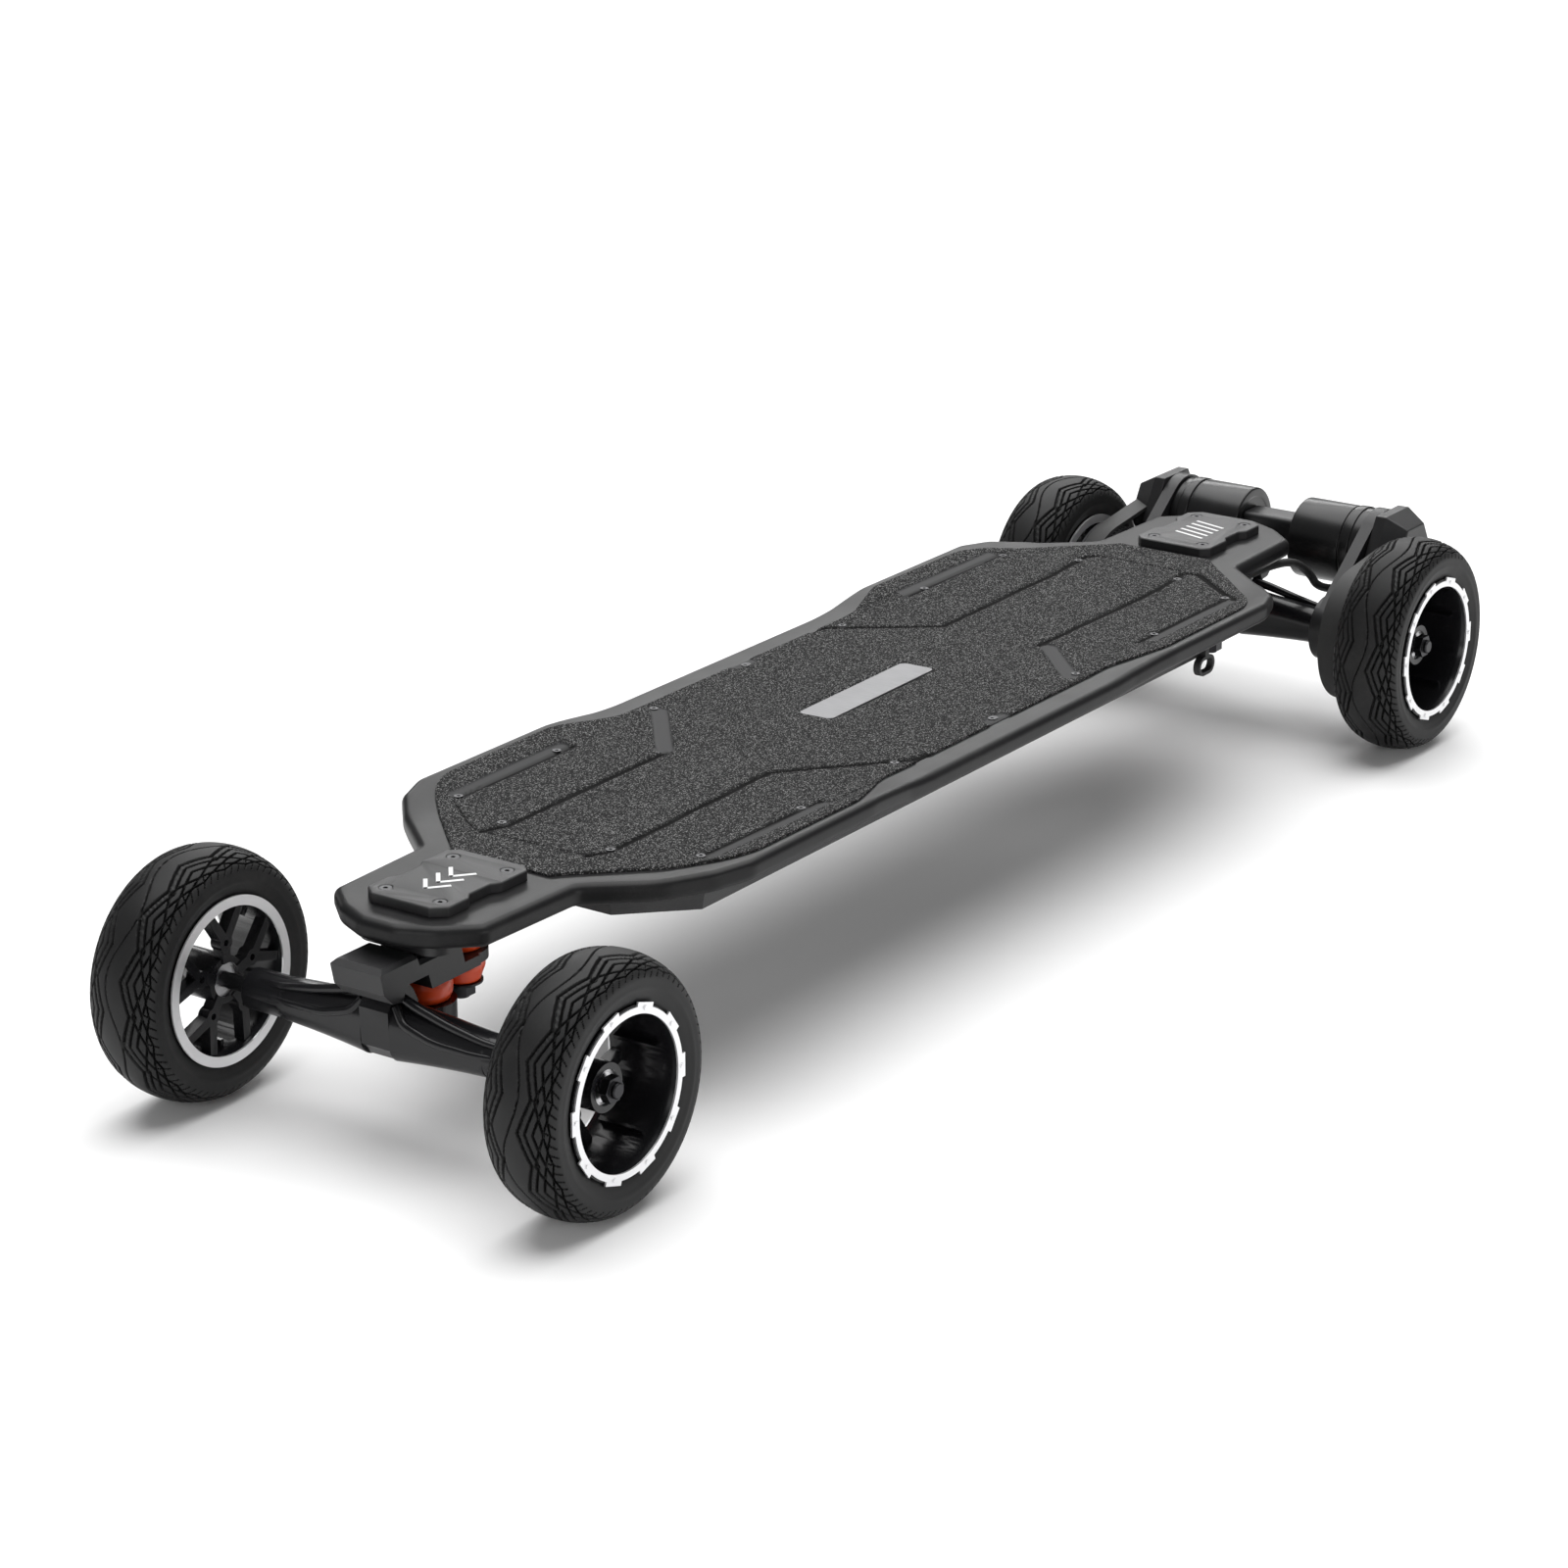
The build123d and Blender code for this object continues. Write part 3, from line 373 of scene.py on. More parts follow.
def shade(made, inputs):
    """Links or sets inputs of a material's own shader."""
    shader = made.node_tree.nodes["Principled BSDF"]
    for key, value in inputs.items():
        feed(made.node_tree, shader.inputs[key], value)


def base_colour(made):
    """The output that feeds a material's base colour so far."""
    shader = made.node_tree.nodes["Principled BSDF"]
    return shader.inputs["Base Color"].links[0].from_socket


def material(name, colour, rough, metallic=0.0, grain=2500.0, variation=0.25, spread=0.12,
             bump=0.03, dust=0.1, coat=0.0, specular=0.5):
    """A painted, moulded or metal surface with grain, a little dust and uneven gloss."""
    made = bpy.data.materials.new(name)
    made.use_nodes = True
    tree = made.node_tree
    place = object_place(tree)
    grained = node(tree, "ShaderNodeGroup",
                   {"Vector": place, "Fineness": grain, "Colour": (*colour, 1),
                    "Variation": variation, "Roughness": rough, "Roughness spread": spread},
                   node_tree=effect("surface grain", grain_group)).outputs
    dusted = node(tree, "ShaderNodeGroup",
                  {"Vector": place, "Colour": grained["Colour"], "Amount": dust},
                  node_tree=effect("light dust", dust_group)).outputs
    shade(made, {"Base Color": dusted["Colour"], "Roughness": grained["Roughness"],
                 "Normal": relief(tree, grained["Height"], bump, 0.4 * MM),
                 "Metallic": metallic, "Coat Weight": coat, "Coat Roughness": 0.1,
                 "Specular IOR Level": specular})
    return made


def brushed(name, colour, rough, stretch, metallic):
    """Brushed metal: noise drawn out along one way drives its gloss and relief."""
    made = material(name, colour, rough, metallic=metallic, variation=0.12, bump=0.02, dust=0.02)
    tree = made.node_tree
    drawn = node(tree, "ShaderNodeMapping", {"Vector": object_place(tree), "Scale": stretch})
    lines = noise(tree, drawn.outputs["Vector"], Scale=60.0, Detail=4.0)
    shade(made, {"Roughness": mapped(tree, lines, (0.0, 1.0), (rough - 0.1, rough + 0.14)),
                 "Normal": relief(tree, lines, 0.08, 0.3 * MM)})
    return made


def grit_material(name):
    """The mat: dense black grit with pale sparkles, smooth dark panels and grooves painted near-black
    as shade.
    """
    made = material(name, settings("deck").grit, 0.86, variation=0.3, dust=0.0, bump=0.0)
    tree = made.node_tree
    place = object_place(tree)
    panel = attribute(tree, "panel")
    groove = attribute(tree, "groove")
    cells = node(tree, "ShaderNodeTexVoronoi", {"Vector": place, "Scale": 1150.0}).outputs
    grains = noise(tree, place, Scale=900.0, Detail=6.0, Roughness=0.75)
    # A cell's own random number says how brightly its grain sparkles, if at all.
    own = node(tree, "ShaderNodeSeparateColor", {0: cells["Color"]}).outputs[0]
    sparkle = maths(tree, "MULTIPLY", mapped(tree, own, (0.42, 1.0), (0.0, 0.6)),
                    mapped(tree, cells["Distance"], (0.62, 0.1)))
    smooth = maths(tree, "MAXIMUM", panel, groove)
    gritty = maths(tree, "SUBTRACT", 1.0, smooth, clamp=True)
    dark = mixed(tree, smooth, base_colour(made), (0.026, 0.026, 0.027, 1))
    # Painted shade: the grooves are coloured almost black, darker than the smooth panels, for the
    # shade that falls in them.
    black = mixed(tree, groove, dark, (0.001, 0.001, 0.001, 1))
    lit = mixed(tree, maths(tree, "MULTIPLY", sparkle, gritty), black, (0.88, 0.88, 0.87, 1))
    height = maths(tree, "MULTIPLY", grains, gritty)
    shade(made, {"Base Color": lit, "Roughness": mapped(tree, panel, (0.0, 1.0), (0.9, 0.55)),
                 "Normal": relief(tree, height, 0.9, 1.1 * MM), "Specular IOR Level": 0.15})
    return made


def tyre_material(name):
    """Tyre rubber: matt on the blocks, with painted shade that darkens the grooves."""
    made = material(name, settings("wheels").rubber, 0.55, grain=1400.0, variation=0.3,
                    spread=0.2, bump=0.12, dust=0.1, specular=0.32)
    tree = made.node_tree
    # Painted shade: the tread's grooves are coloured darker than the blocks.
    painted_groove_shade = (0.006, 0.006, 0.006, 1)
    shade(made, {"Base Color": mixed(tree, attribute(tree, "groove"), base_colour(made),
                                     painted_groove_shade)})
    return made


# Each plain finish: its label, its colour or the setting that holds it, its roughness, and the
# rest of what material() takes.
PLAIN_FINISHES = {
    "lacquer": ("deck lacquer", ("deck", "lacquer"), 0.40,
                dict(grain=420.0, variation=0.3, spread=0.1, bump=0.05, dust=0.06, specular=0.22)),
    "gloss": ("gloss casting", ("trucks", "gloss"), 0.26,
              dict(grain=300.0, bump=0.02, spread=0.08, dust=0.02, coat=0.1, specular=0.3)),
    "satin": ("satin casting", ("trucks", "satin"), 0.42, dict(grain=1800.0, bump=0.1, dust=0.06)),
    "plate": ("plate plastic", (0.012, 0.012, 0.013), 0.44,
              dict(grain=2200.0, bump=0.12, dust=0.08)),
    "case": ("case plastic", (0.011, 0.011, 0.012), 0.5, dict(grain=1300.0, bump=0.25)),
    "motor": ("motor anodising", (0.008, 0.008, 0.0085), 0.3,
              dict(metallic=0.2, grain=1500.0, bump=0.04, dust=0.06)),
    "cover": ("cover anodising", (0.010, 0.010, 0.011), 0.42,
              dict(metallic=0.1, grain=2400.0, bump=0.12, dust=0.06)),
    "bushing": ("bushing urethane", ("trucks", "bushing"), 0.34,
                dict(grain=600.0, variation=0.2, dust=0.05, coat=0.15)),
    "rubber": ("soft rubber", (0.018, 0.018, 0.018), 0.62, dict(grain=1200.0, bump=0.12)),
    "fastener": ("black fasteners", (0.035, 0.035, 0.038), 0.34,
                 dict(metallic=0.9, grain=900.0, bump=0.04, dust=0.06)),
    "mark": ("white print", (0.80, 0.80, 0.80), 0.5, dict(variation=0.08, dust=0.05)),
    "cells": ("cell sleeves", (0.02, 0.13, 0.30), 0.4, {}),
    "board": ("circuit board", (0.01, 0.12, 0.05), 0.45, {}),
    "floor": ("floor paper", ("stage", "floor"), 0.9,
              dict(variation=0.02, spread=0.02, bump=0.0, dust=0.0, specular=0.0)),
}
# Each brushed finish: its label, colour, roughness, the lines' scale each way, and metallic.
BRUSHED_FINISHES = {
    "steel": ("bearing steel", (0.55, 0.55, 0.56), 0.28, (1, 1, 12), 1.0),
    "ring": ("bright rings", ("wheels", "ring"), 0.34, (6, 6, 6), 0.75),
    "badge": ("badge aluminium", (0.20, 0.20, 0.205), 0.42, (18, 1, 1), 0.85),
    "sink": ("heat sink", (0.2, 0.2, 0.21), 0.42, (1, 12, 1), 1.0),
    "copper": ("winding copper", (0.55, 0.24, 0.09), 0.36, (1, 12, 1), 1.0),
    "pulley": ("pulley anodising", (0.10, 0.10, 0.105), 0.36, (4, 4, 4), 0.8),
}
# The finishes with functions of their own: their labels and functions.
OWN_FINISHES = {"grit": ("grip grit", grit_material), "tyre": ("tyre rubber", tyre_material)}
ALL_FINISHES = PLAIN_FINISHES | BRUSHED_FINISHES | OWN_FINISHES


def chosen(colour):
    """A colour as it stands, or the one that its settings group and name stand for."""
    if isinstance(colour[0], str):
        return getattr(settings(colour[0]), colour[1])
    return colour


def finish(name):
    """The material of a finish, made the first time that it is asked for."""
    label, *rest = ALL_FINISHES[name]
    if label in bpy.data.materials:
        return bpy.data.materials[label]
    if name in OWN_FINISHES:
        return rest[0](label)
    if name in BRUSHED_FINISHES:
        return brushed(label, chosen(rest[0]), *rest[1:])
    colour, rough, options = rest
    return material(label, chosen(colour), rough, **options)


# ---- deck and mat -----------------------------------------------------------------------------
DECK_QUARTER = np.array([(517, 13), (506, 36), (486, 58), (402, 61), (366, 103), (344, 122),
                         (318, 131), (188, 131), (140, 127)]) * MM
MAT_QUARTER = np.array([(400, 36), (350, 88), (322, 113), (302, 121), (190, 122),
                        (140, 105.5)]) * MM
SIDES_RISE_FROM = 110 * MM  # from the middle of the deck
SIDES_RISE_OVER = 80 * MM
SIDE_SOFTNESS = 2 * MM
DECK_POINTS = 1100
OUTLINE_EASE = 6 * MM
SPINE_END = 470 * MM


def rise(x, y):
    """How far the deck's top stands above its middle: nothing over the waist, and a slope outside
    the flat half-width over the platforms, eased in with a soft corner."""
    deck = settings("deck")
    along = np.clip((np.abs(x) - SIDES_RISE_FROM) / SIDES_RISE_OVER, 0, 1)
    across = (np.abs(y) - deck.wing_start) / SIDE_SOFTNESS
    slope = along ** 2 * (3 - 2 * along) * deck.wing_slope
    return slope * SIDE_SOFTNESS * np.logaddexp(0, across)


def closed_outline(quarter, count, ease):
    """A closed outline from its quarter: evenly spaced points, eased by a running average."""
    half = np.vstack([quarter, quarter[::-1] * (-1, 1)])
    whole = np.vstack([half, half[::-1] * (1, -1)])
    whole = np.vstack([whole, whole[:1]])
    reach = np.concatenate([[0], np.cumsum(np.linalg.norm(np.diff(whole, axis=0), axis=1))])
    at = np.linspace(0, reach[-1], count, endpoint=False)
    line = np.stack([np.interp(at, reach, whole[:, i]) for i in (0, 1)], axis=1)
    span = max(1, int(ease / (reach[-1] / count)))
    weights = np.hanning(2 * span + 3)[1:-1]
    weights /= weights.sum()
    padded = np.vstack([line[-span:], line, line[:span]])
    return np.stack([np.convolve(padded[:, i], weights, "valid") for i in (0, 1)], axis=1)


def inward(line):
    """The unit direction into a closed outline at each of its points."""
    along = np.roll(line, -1, axis=0) - np.roll(line, 1, axis=0)
    normal = np.stack([-along[:, 1], along[:, 0]], axis=1)
    return normal / np.linalg.norm(normal, axis=1, keepdims=True)


def deck_shell():
    """The deck: its outline carried round the rounded rail, then drawn in to the centre line
    above and below. A row is the outline moved in and up by the rail's arc."""
    deck = settings("deck")
    line = closed_outline(DECK_QUARTER, DECK_POINTS, OUTLINE_EASE)
    into = inward(line)
    into *= np.sign((into * -line).sum(axis=1).mean())
    thick = DECK_TOP - DECK_BOTTOM
    turn = np.linspace(0, np.pi / 2, 9)
    top = [(deck.rail * (1 - math.sin(t)), -deck.rail * (1 - math.cos(t))) for t in turn]
    under = [(deck.rail_under * (1 - math.cos(t)), deck.rail_under * (1 - math.sin(t)) - thick)
             for t in turn]
    spine = np.stack([np.clip(line[:, 0], -SPINE_END, SPINE_END), line[:, 1] * 0], axis=1)
    rows = []
    first = line + into * top[0][0]
    for t in np.linspace(1, 0, 14)[:-1]:
        rows.append((first + (spine - first) * t, 0.0))
    rows += [(line + into * shift, drop) for shift, drop in top]
    rows += [(line + into * shift, drop) for shift, drop in under]
    last = line + into * under[-1][0]
    for t in np.linspace(0, 1, 8)[1:]:
        rows.append((last + (spine - last) * t, -thick))
    points = np.stack([np.column_stack([flat[:, 0] + MID_X, flat[:, 1],
                                        DECK_TOP + rise(flat[:, 0], flat[:, 1]) + drop])
                       for flat, drop in rows])
    return grid_mesh("deck_shell", points, merge=2e-5, crease=50)


# Grooves, as lines of points from the mat's middle, in millimetres. A smooth panel has its
# half-width first.
THICK_GROOVES = [[(364, -42), (347, -35), (180, -36)],
                 [(362, 38), (346, 45), (174, 41), (101, 103), (87, 105)],
                 [(-360, -36), (-352, -42), (-303, -38), (-150, -36), (-99, -102), (-86, -105)],
                 [(-318, 104), (-362, 49), (-357, 39), (-309, 44), (-150, 43)],
                 [(205, -93), (324, -92)], [(-194, 97), (-318, 97)],
                 [(203, 100), (324, 96)], [(-196, -96), (-318, -96)]]
THIN_GROOVES = [[(333, -88), (354, -62), (364, -47), (364, -36), (362, 38)],
                [(201, 109), (136, 109.5)], [(-133, -109), (-191, -103)],
                [(-362, 39), (-361, -36)]]
PANELS = [(5, [(210, -98), (321, -97)]), (6, [(114, -90), (176, -40)]),
          (5, [(207, 105), (322, 101)]), (5, [(-199, -101), (-316, -101)]),
          (6, [(-105, 96), (-152, 50)]), (5, [(-206, 103), (-312, 103)]),
          (5, [(-8, 103), (8, 103)]), (5, [(-8, -103), (8, -103)])]
MAT_SCREWS = [(322, 94), (218, 96), (344, 42), (112, 96), (1, 100)]  # repeated four ways
SCREW_RECESS = 4.4 * MM
THICK_HALF, THIN_HALF = 2.5 * MM, 0.8 * MM
THIN_DEPTH, PANEL_DEPTH = 0.8, 0.75  # of a thick groove's depth
BADGE_GAP, BADGE_BED = 0.6 * MM, 0.6 * MM  # round the badge, and above the deck under it
EDGE_ROLL, EDGE_DROP = 0.9 * MM, 0.6 * MM
MAT_LIFT = 0.05 * MM
MAT_ROWS, MAT_COLUMNS, UNDER_STEP = 520, 149, 4
MAT_EASE = np.hanning(19) / np.hanning(19).sum()


def distance_to(x, y, line):
    """The distance from each point to the nearest part of a line through the given points."""
    line = np.array(line, dtype=float) * MM
    best = np.full(x.shape, 1.0)
    for a, b in zip(line[:-1], line[1:]):
        step = b - a
        t = np.clip(((x - a[0]) * step[0] + (y - a[1]) * step[1]) / (step @ step), 0, 1)
        best = np.minimum(best, np.hypot(x - a[0] - t * step[0], y - a[1] - t * step[1]))
    return best


def within(distance, half, edge=0.9 * MM):
    """One inside a line's half-width and nothing outside, with a short soft edge."""
    t = np.clip((half + edge / 2 - distance) / edge, 0, 1)
    return t * t * (3 - 2 * t)


def grip_mat():
    """The mat: a height for each place along and across it, following the deck, with grooves and
    smooth panels pressed in, and its edge turned down to the deck."""
    deck = settings("deck")
    x = np.linspace(-1, 1, MAT_ROWS) * MAT_HALF_LENGTH
    order = np.argsort(MAT_QUARTER[:, 0])
    half = np.interp(np.abs(x), MAT_QUARTER[order, 0], MAT_QUARTER[order, 1])
    half = np.convolve(np.pad(half, len(MAT_EASE) // 2, mode="edge"), MAT_EASE, "valid")
    across = np.linspace(-1, 1, MAT_COLUMNS)
    gx = np.repeat(x[:, None], MAT_COLUMNS, axis=1)
    gy = half[:, None] * across[None, :]
    groove = np.zeros(gx.shape)
    for line in THICK_GROOVES:
        groove = np.maximum(groove, within(distance_to(gx, gy, line), THICK_HALF))
    for line in THIN_GROOVES:
        groove = np.maximum(groove, THIN_DEPTH * within(distance_to(gx, gy, line), THIN_HALF))
    panel = np.zeros(gx.shape)
    for size, line in PANELS:
        panel = np.maximum(panel, within(distance_to(gx, gy, line), size * MM))
    for x_at, y_at in MAT_SCREWS:
        from_screw = np.hypot(np.abs(gx) - x_at * MM, np.abs(gy) - y_at * MM)
        panel = np.maximum(panel, within(from_screw, SCREW_RECESS))
    top = DECK_TOP + rise(gx, gy) + MAT_THICK
    top -= deck.groove_depth * np.maximum(groove, PANEL_DEPTH * panel)
    badge = (high("centre_badge") - low("centre_badge")) / 2
    inside = np.maximum(np.abs(gx) - badge[0], np.abs(gy) - badge[1]) < BADGE_GAP
    inside &= np.abs(gx) < badge[0] - np.maximum(np.abs(gy) - badge[1] * 0.86, 0)
    top = np.where(inside, np.minimum(top, DECK_TOP + BADGE_BED), top)
    edge = np.minimum(half[:, None] * (1 - np.abs(across[None, :])),
                      MAT_HALF_LENGTH - np.abs(gx))
    top -= EDGE_DROP * np.clip(1 - edge / EDGE_ROLL, 0, 1) ** 2
    surface = np.stack([gx + MID_X, gy, top], axis=-1)
    ux, uy = gx[:, ::-UNDER_STEP], gy[:, ::-UNDER_STEP]
    base = DECK_TOP + rise(ux, uy) + MAT_LIFT
    rim = np.concatenate([surface, np.stack([ux + MID_X, uy, base], axis=-1)], axis=1)
    ends = []
    for row in (0, -1):
        flat = rim[row:row + 1 or None].copy()
        flat[:, :, 2] = base[row].min()
        ends.append(flat)
    points = np.concatenate([ends[0], rim, ends[1]], axis=0)
    marks = [np.zeros(points.shape[:2]) for _ in range(2)]
    for store, values in zip(marks, (groove, panel)):
        store[1:-1, :MAT_COLUMNS] = values
    return grid_mesh("grip_mat_surface", points, caps=True, merge=1e-7, crease=60,
                     marks={"groove": marks[0], "panel": marks[1]})


def print_lines(name, height, lines, half, body):
    """Flat raised bars along the given lines, at one height, as one printed mark."""
    corners, faces = [], []
    for line in lines:
        line = np.array(line, dtype=float) * MM
        for a, b in zip(line[:-1], line[1:]):
            along = (b - a) / np.linalg.norm(b - a)
            side = np.array([-along[1], along[0]]) * half
            ends = (a - along * half, b + along * half)
            start = len(corners)
            for z in (height, height + 0.12 * MM):
                corners += [(*(ends[0] - side), z), (*(ends[1] - side), z),
                            (*(ends[1] + side), z), (*(ends[0] + side), z)]
            low_ring, top_ring = range(start, start + 4), range(start + 4, start + 8)
            faces += [tuple(reversed(low_ring)), tuple(top_ring)]
            faces += [(start + i, start + (i + 1) % 4, start + 4 + (i + 1) % 4, start + 4 + i)
                      for i in range(4)]
    mesh = bpy.data.meshes.new(name)
    mesh.from_pydata(corners, [], faces)
    mesh.update(calc_edges=True)
    new_piece(name, mesh, body, finish("mark"))


class SKATE_OT_deck(bpy.types.Operator):
    """Makes the deck, the grip mat and the pieces fixed on top of them"""
    bl_idname = "skate.deck"
    bl_label = "Deck and mat"

    def execute(self, context):
        new_piece("deck_shell", deck_shell(), "deck", finish("lacquer"), ["deck_board"])
        new_piece("grip_mat_surface", grip_mat(), "deck", finish("grit"), ["grip_mat"])
        refined("centre_badge", finish("badge"), rounding=0.3 * MM)
        for name in ("nose_plate", "tail_plate"):
            refined(name, finish("plate"), rounding=0.35 * MM)
        nose, tail = middle("nose_plate")[0] / MM, middle("tail_plate")[0] / MM
        chevrons = [[(nose + shift - 7, 9), (nose + shift + 4, 0), (nose + shift - 7, -9)]
                    for shift in (-8, 4, 16)]
        print_lines("nose_mark", PLATE_TOP, chevrons, 1.3 * MM, "deck")
        bars = [[(tail + shift - 3, -12), (tail + shift + 3, 12)] for shift in range(-16, 17, 8)]
        print_lines("tail_mark", PLATE_TOP, bars, 1.1 * MM, "deck")
        for name in ("truck_bolts", "flat_head_screws"):
            refined(name, finish("fastener"), rounding=0.15 * MM)
        return {"FINISHED"}


# ---- wheels -----------------------------------------------------------------------------------
TREAD_FOOT_R, TREAD_HALF_WIDTH = 67 * MM, 25.9 * MM
WALL_HEIGHT, WALL_LEAN = 13.3 * MM, 3.2 * MM
WALL_RIB_HEIGHT, WALL_RIB_AT, WALL_RIB_WIDTH = 0.45 * MM, 0.35, 0.09  # the last two, of the wall
LINER = np.array([(51.2, 21.0), (51.2, -21.0)]) * MM  # radius and reach
TREAD_ROWS, WALL_ROWS, TYRE_STEPS = 121, 11, 600
TREAD_SPAN = 1.02
# The zigzag grooves of one side: middle, swing and half-width, as shares of half the tread.
ZIGZAGS = [(0.25, 0.095, 0.021), (0.37, 0.095, 0.017), (0.51, -0.105, 0.016),
           (0.51, 0.095, 0.016), (0.68, 0.080, 0.014), (0.68, -0.080, 0.014)]
GROOVE_EDGE = 0.014


def wave(value):
    """A triangle wave of the given turns, between -1 and 1."""
    return 4 * np.abs(value - np.floor(value + 0.5)) - 1


def tread(turns, across):
    """How deep the tread is cut, from 0 to 1. Turns counts blocks round the tyre and across runs
    from -1 to 1 over the tread. Each side has a pair of zigzag grooves with a ribbed strip
    between them, then two rows of crossing zigzags that leave diamonds, then short cuts on the
    shoulder. A thin sine line winds along the crown."""
    side = np.abs(across)
    own = turns + np.where(across > 0, 0.0, 0.5)
    zigzag = wave(own)
    cut = np.zeros(np.broadcast_shapes(turns.shape, across.shape))
    for place, swing, half in ZIGZAGS:
        from_line = np.abs(side - (place + swing * zigzag))
        cut = np.maximum(cut, within(from_line, half, GROOVE_EDGE))
    lens = 0.13 * np.sin(np.pi * turns)
    cut = np.maximum(cut, 0.8 * within(np.abs(across - lens), 0.009, 0.012))
    shoulder = (side > 0.66) & (side < 0.93 + 0.03 * zigzag)
    sipe = wave(own * 3 + 0.2 + side * 1.4)
    cut = np.maximum(cut, 0.8 * within(np.abs(sipe), 0.07, 0.07) * shoulder)
    ribs = 0.16 * (0.5 + 0.5 * wave(own * 12 + side * 6))
    strip = (side > 0.27 + 0.095 * zigzag) & (side < 0.35 + 0.095 * zigzag)
    return np.maximum(cut, ribs * strip)


def tyre_mesh(name, centre, outwards):
    """A tyre: a half-ellipse over the tread, a leaning sidewall with a low rib on each side and a
    flat liner, turned about the axle, with the tread cut into it along its normal."""
    wheels = settings("wheels")
    t = np.linspace(-np.pi / 2, np.pi / 2, TREAD_ROWS)
    tread_r = TREAD_FOOT_R + (TYRE_R - TREAD_FOOT_R) * np.cos(t)
    u = np.linspace(0, 1, WALL_ROWS + 1)[1:]
    wall_r = TREAD_FOOT_R - WALL_HEIGHT * u
    rib = WALL_RIB_HEIGHT * np.exp(-((u - WALL_RIB_AT) / WALL_RIB_WIDTH) ** 2)
    wall_y = TREAD_HALF_WIDTH - WALL_LEAN * u ** 2 + rib
    radius = np.concatenate([wall_r[::-1], tread_r, wall_r, LINER[:, 0]])
    reach = np.concatenate([-wall_y[::-1], TREAD_HALF_WIDTH * np.sin(t), wall_y, LINER[:, 1]])
    turn = np.linspace(0, 2 * np.pi, TYRE_STEPS, endpoint=False)
    turns = turn[None, :] * wheels.tread_blocks / (2 * np.pi)
    across = t[:, None] / (np.pi / 2) * TREAD_SPAN
    cut = np.zeros((len(radius), TYRE_STEPS))
    cut[WALL_ROWS:WALL_ROWS + TREAD_ROWS] = tread(turns, across)
    slope = np.stack([np.gradient(reach), -np.gradient(radius)])
    slope /= np.maximum(np.linalg.norm(slope, axis=0), 1e-9)
    deep = cut * wheels.tread_depth
    r = radius[:, None] - np.abs(slope[0])[:, None] * deep
    y = np.sign(reach)[:, None] * (np.abs(reach)[:, None] - np.abs(slope[1])[:, None] * deep)
    points = np.stack([centre[0] + r * np.cos(turn), centre[1] + y * outwards,
                       centre[2] + r * np.sin(turn)], axis=-1)
    return grid_mesh(name, points, close_rows=True, merge=1e-7, crease=40, marks={"groove": cut})


class SKATE_OT_wheels(bpy.types.Operator):
    """Makes the four tyres and finishes the hubs, rings, bearings and wheel pulleys"""
    bl_idname = "skate.wheels"
    bl_label = "Wheels"

    def execute(self, context):
        for end in ENDS:
            for side, sign in SIDES.items():
                wheel = f"{end}_{side}"
                tyre = f"{wheel}_tyre"
                new_piece(f"{tyre}_tread", tyre_mesh(f"{tyre}_tread", middle(tyre), sign),
                          body_of(tyre), finish("tyre"), [tyre])
                refined(f"{wheel}_hub", finish("gloss"), rounding=0.7 * MM)
                refined(f"{wheel}_trim_rings", finish("ring"), rounding=0.3 * MM)
                refined(f"{wheel}_bearings", finish("steel"), rounding=0.2 * MM)
        for side in SIDES:
            refined(f"{side}_wheel_pulley", finish("pulley"), rounding=0)
            refined(f"{side}_motor_pulley", finish("pulley"), rounding=0)
        return {"FINISHED"}


# ---- trucks -----------------------------------------------------------------------------------
# Each bushing's outline, in millimetres: radius and height above the ground, from the end that
# stays with the outer body to the end that goes with the ring it grips.
BUSHINGS = {
    "upper": {"top": [(14, 116.9), (14.5, 113.4), (13, 109.9)],
              "bottom": [(12, 89.1), (13.4, 93.8), (15.2, 98.4), (14.6, 103.1)]},
    "lower": {"top": [(15.2, 103.1), (17, 98), (16.8, 93), (14.5, 87.9)],
              "bottom": [(10, 66.1), (12, 69.4), (12, 72.7)]},
}
BUSHING_BORE = 5.1


def bushing(name, replaced, outline, outer_body, ring_body):
    """A bushing: its outline turned about the kingpin with rounded rims, open at the bore."""
    closed = [(BUSHING_BORE, outline[0][1]), *outline, (BUSHING_BORE, outline[-1][1])]
    ring = smooth_profile([(r * MM, z * MM) for r, z in closed], 1.4 * MM)
    origin = (*middle(replaced)[:2], 0)
    mesh = grid_mesh(name, turned(origin, (0, 0, 1), ring, 72), close_rows=True, crease=60)
    piece = new_piece(name, mesh, None, finish("bushing"), [replaced])
    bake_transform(piece)


# A hanger's cast ribs, in millimetres from its axle: outboard, to the side and above the ground,
# then the rib's half-thickness.
RIBS = [[(6, 13, 104, 3.0), (8, 26, 101, 3.2), (9, 50, 95.5, 2.8), (9, 76, 91, 2.2), (6, 99, 89, 1.6)],
        [(10, 12, 99, 3.0), (13, 20, 90, 3.0), (13.5, 42, 84, 2.6), (12.5, 70, 83, 2.2),
         (9, 99, 84, 1.6)]]


def rib(name, end, side, stations):
    """A cast rib: a round bar along a smooth line, thinner towards the wheel."""
    x, y, z, half = np.array(stations, dtype=float).T
    at = np.linspace(0, 1, len(stations))
    fine = np.linspace(0, 1, 40)
    ease = np.hanning(9) / np.hanning(9).sum()
    line = []
    for values in (x, y, z, half):
        dense = np.interp(fine, at, values)
        line.append(np.convolve(np.pad(dense, 4, mode="edge"), ease, "valid"))
    points = np.stack([AXLES[end][0] + ENDS[end] * line[0] * MM, side * line[1] * MM,
                       line[2] * MM], axis=-1)
    return grid_mesh(name, tube(points, line[3][:, None, None] * MM))


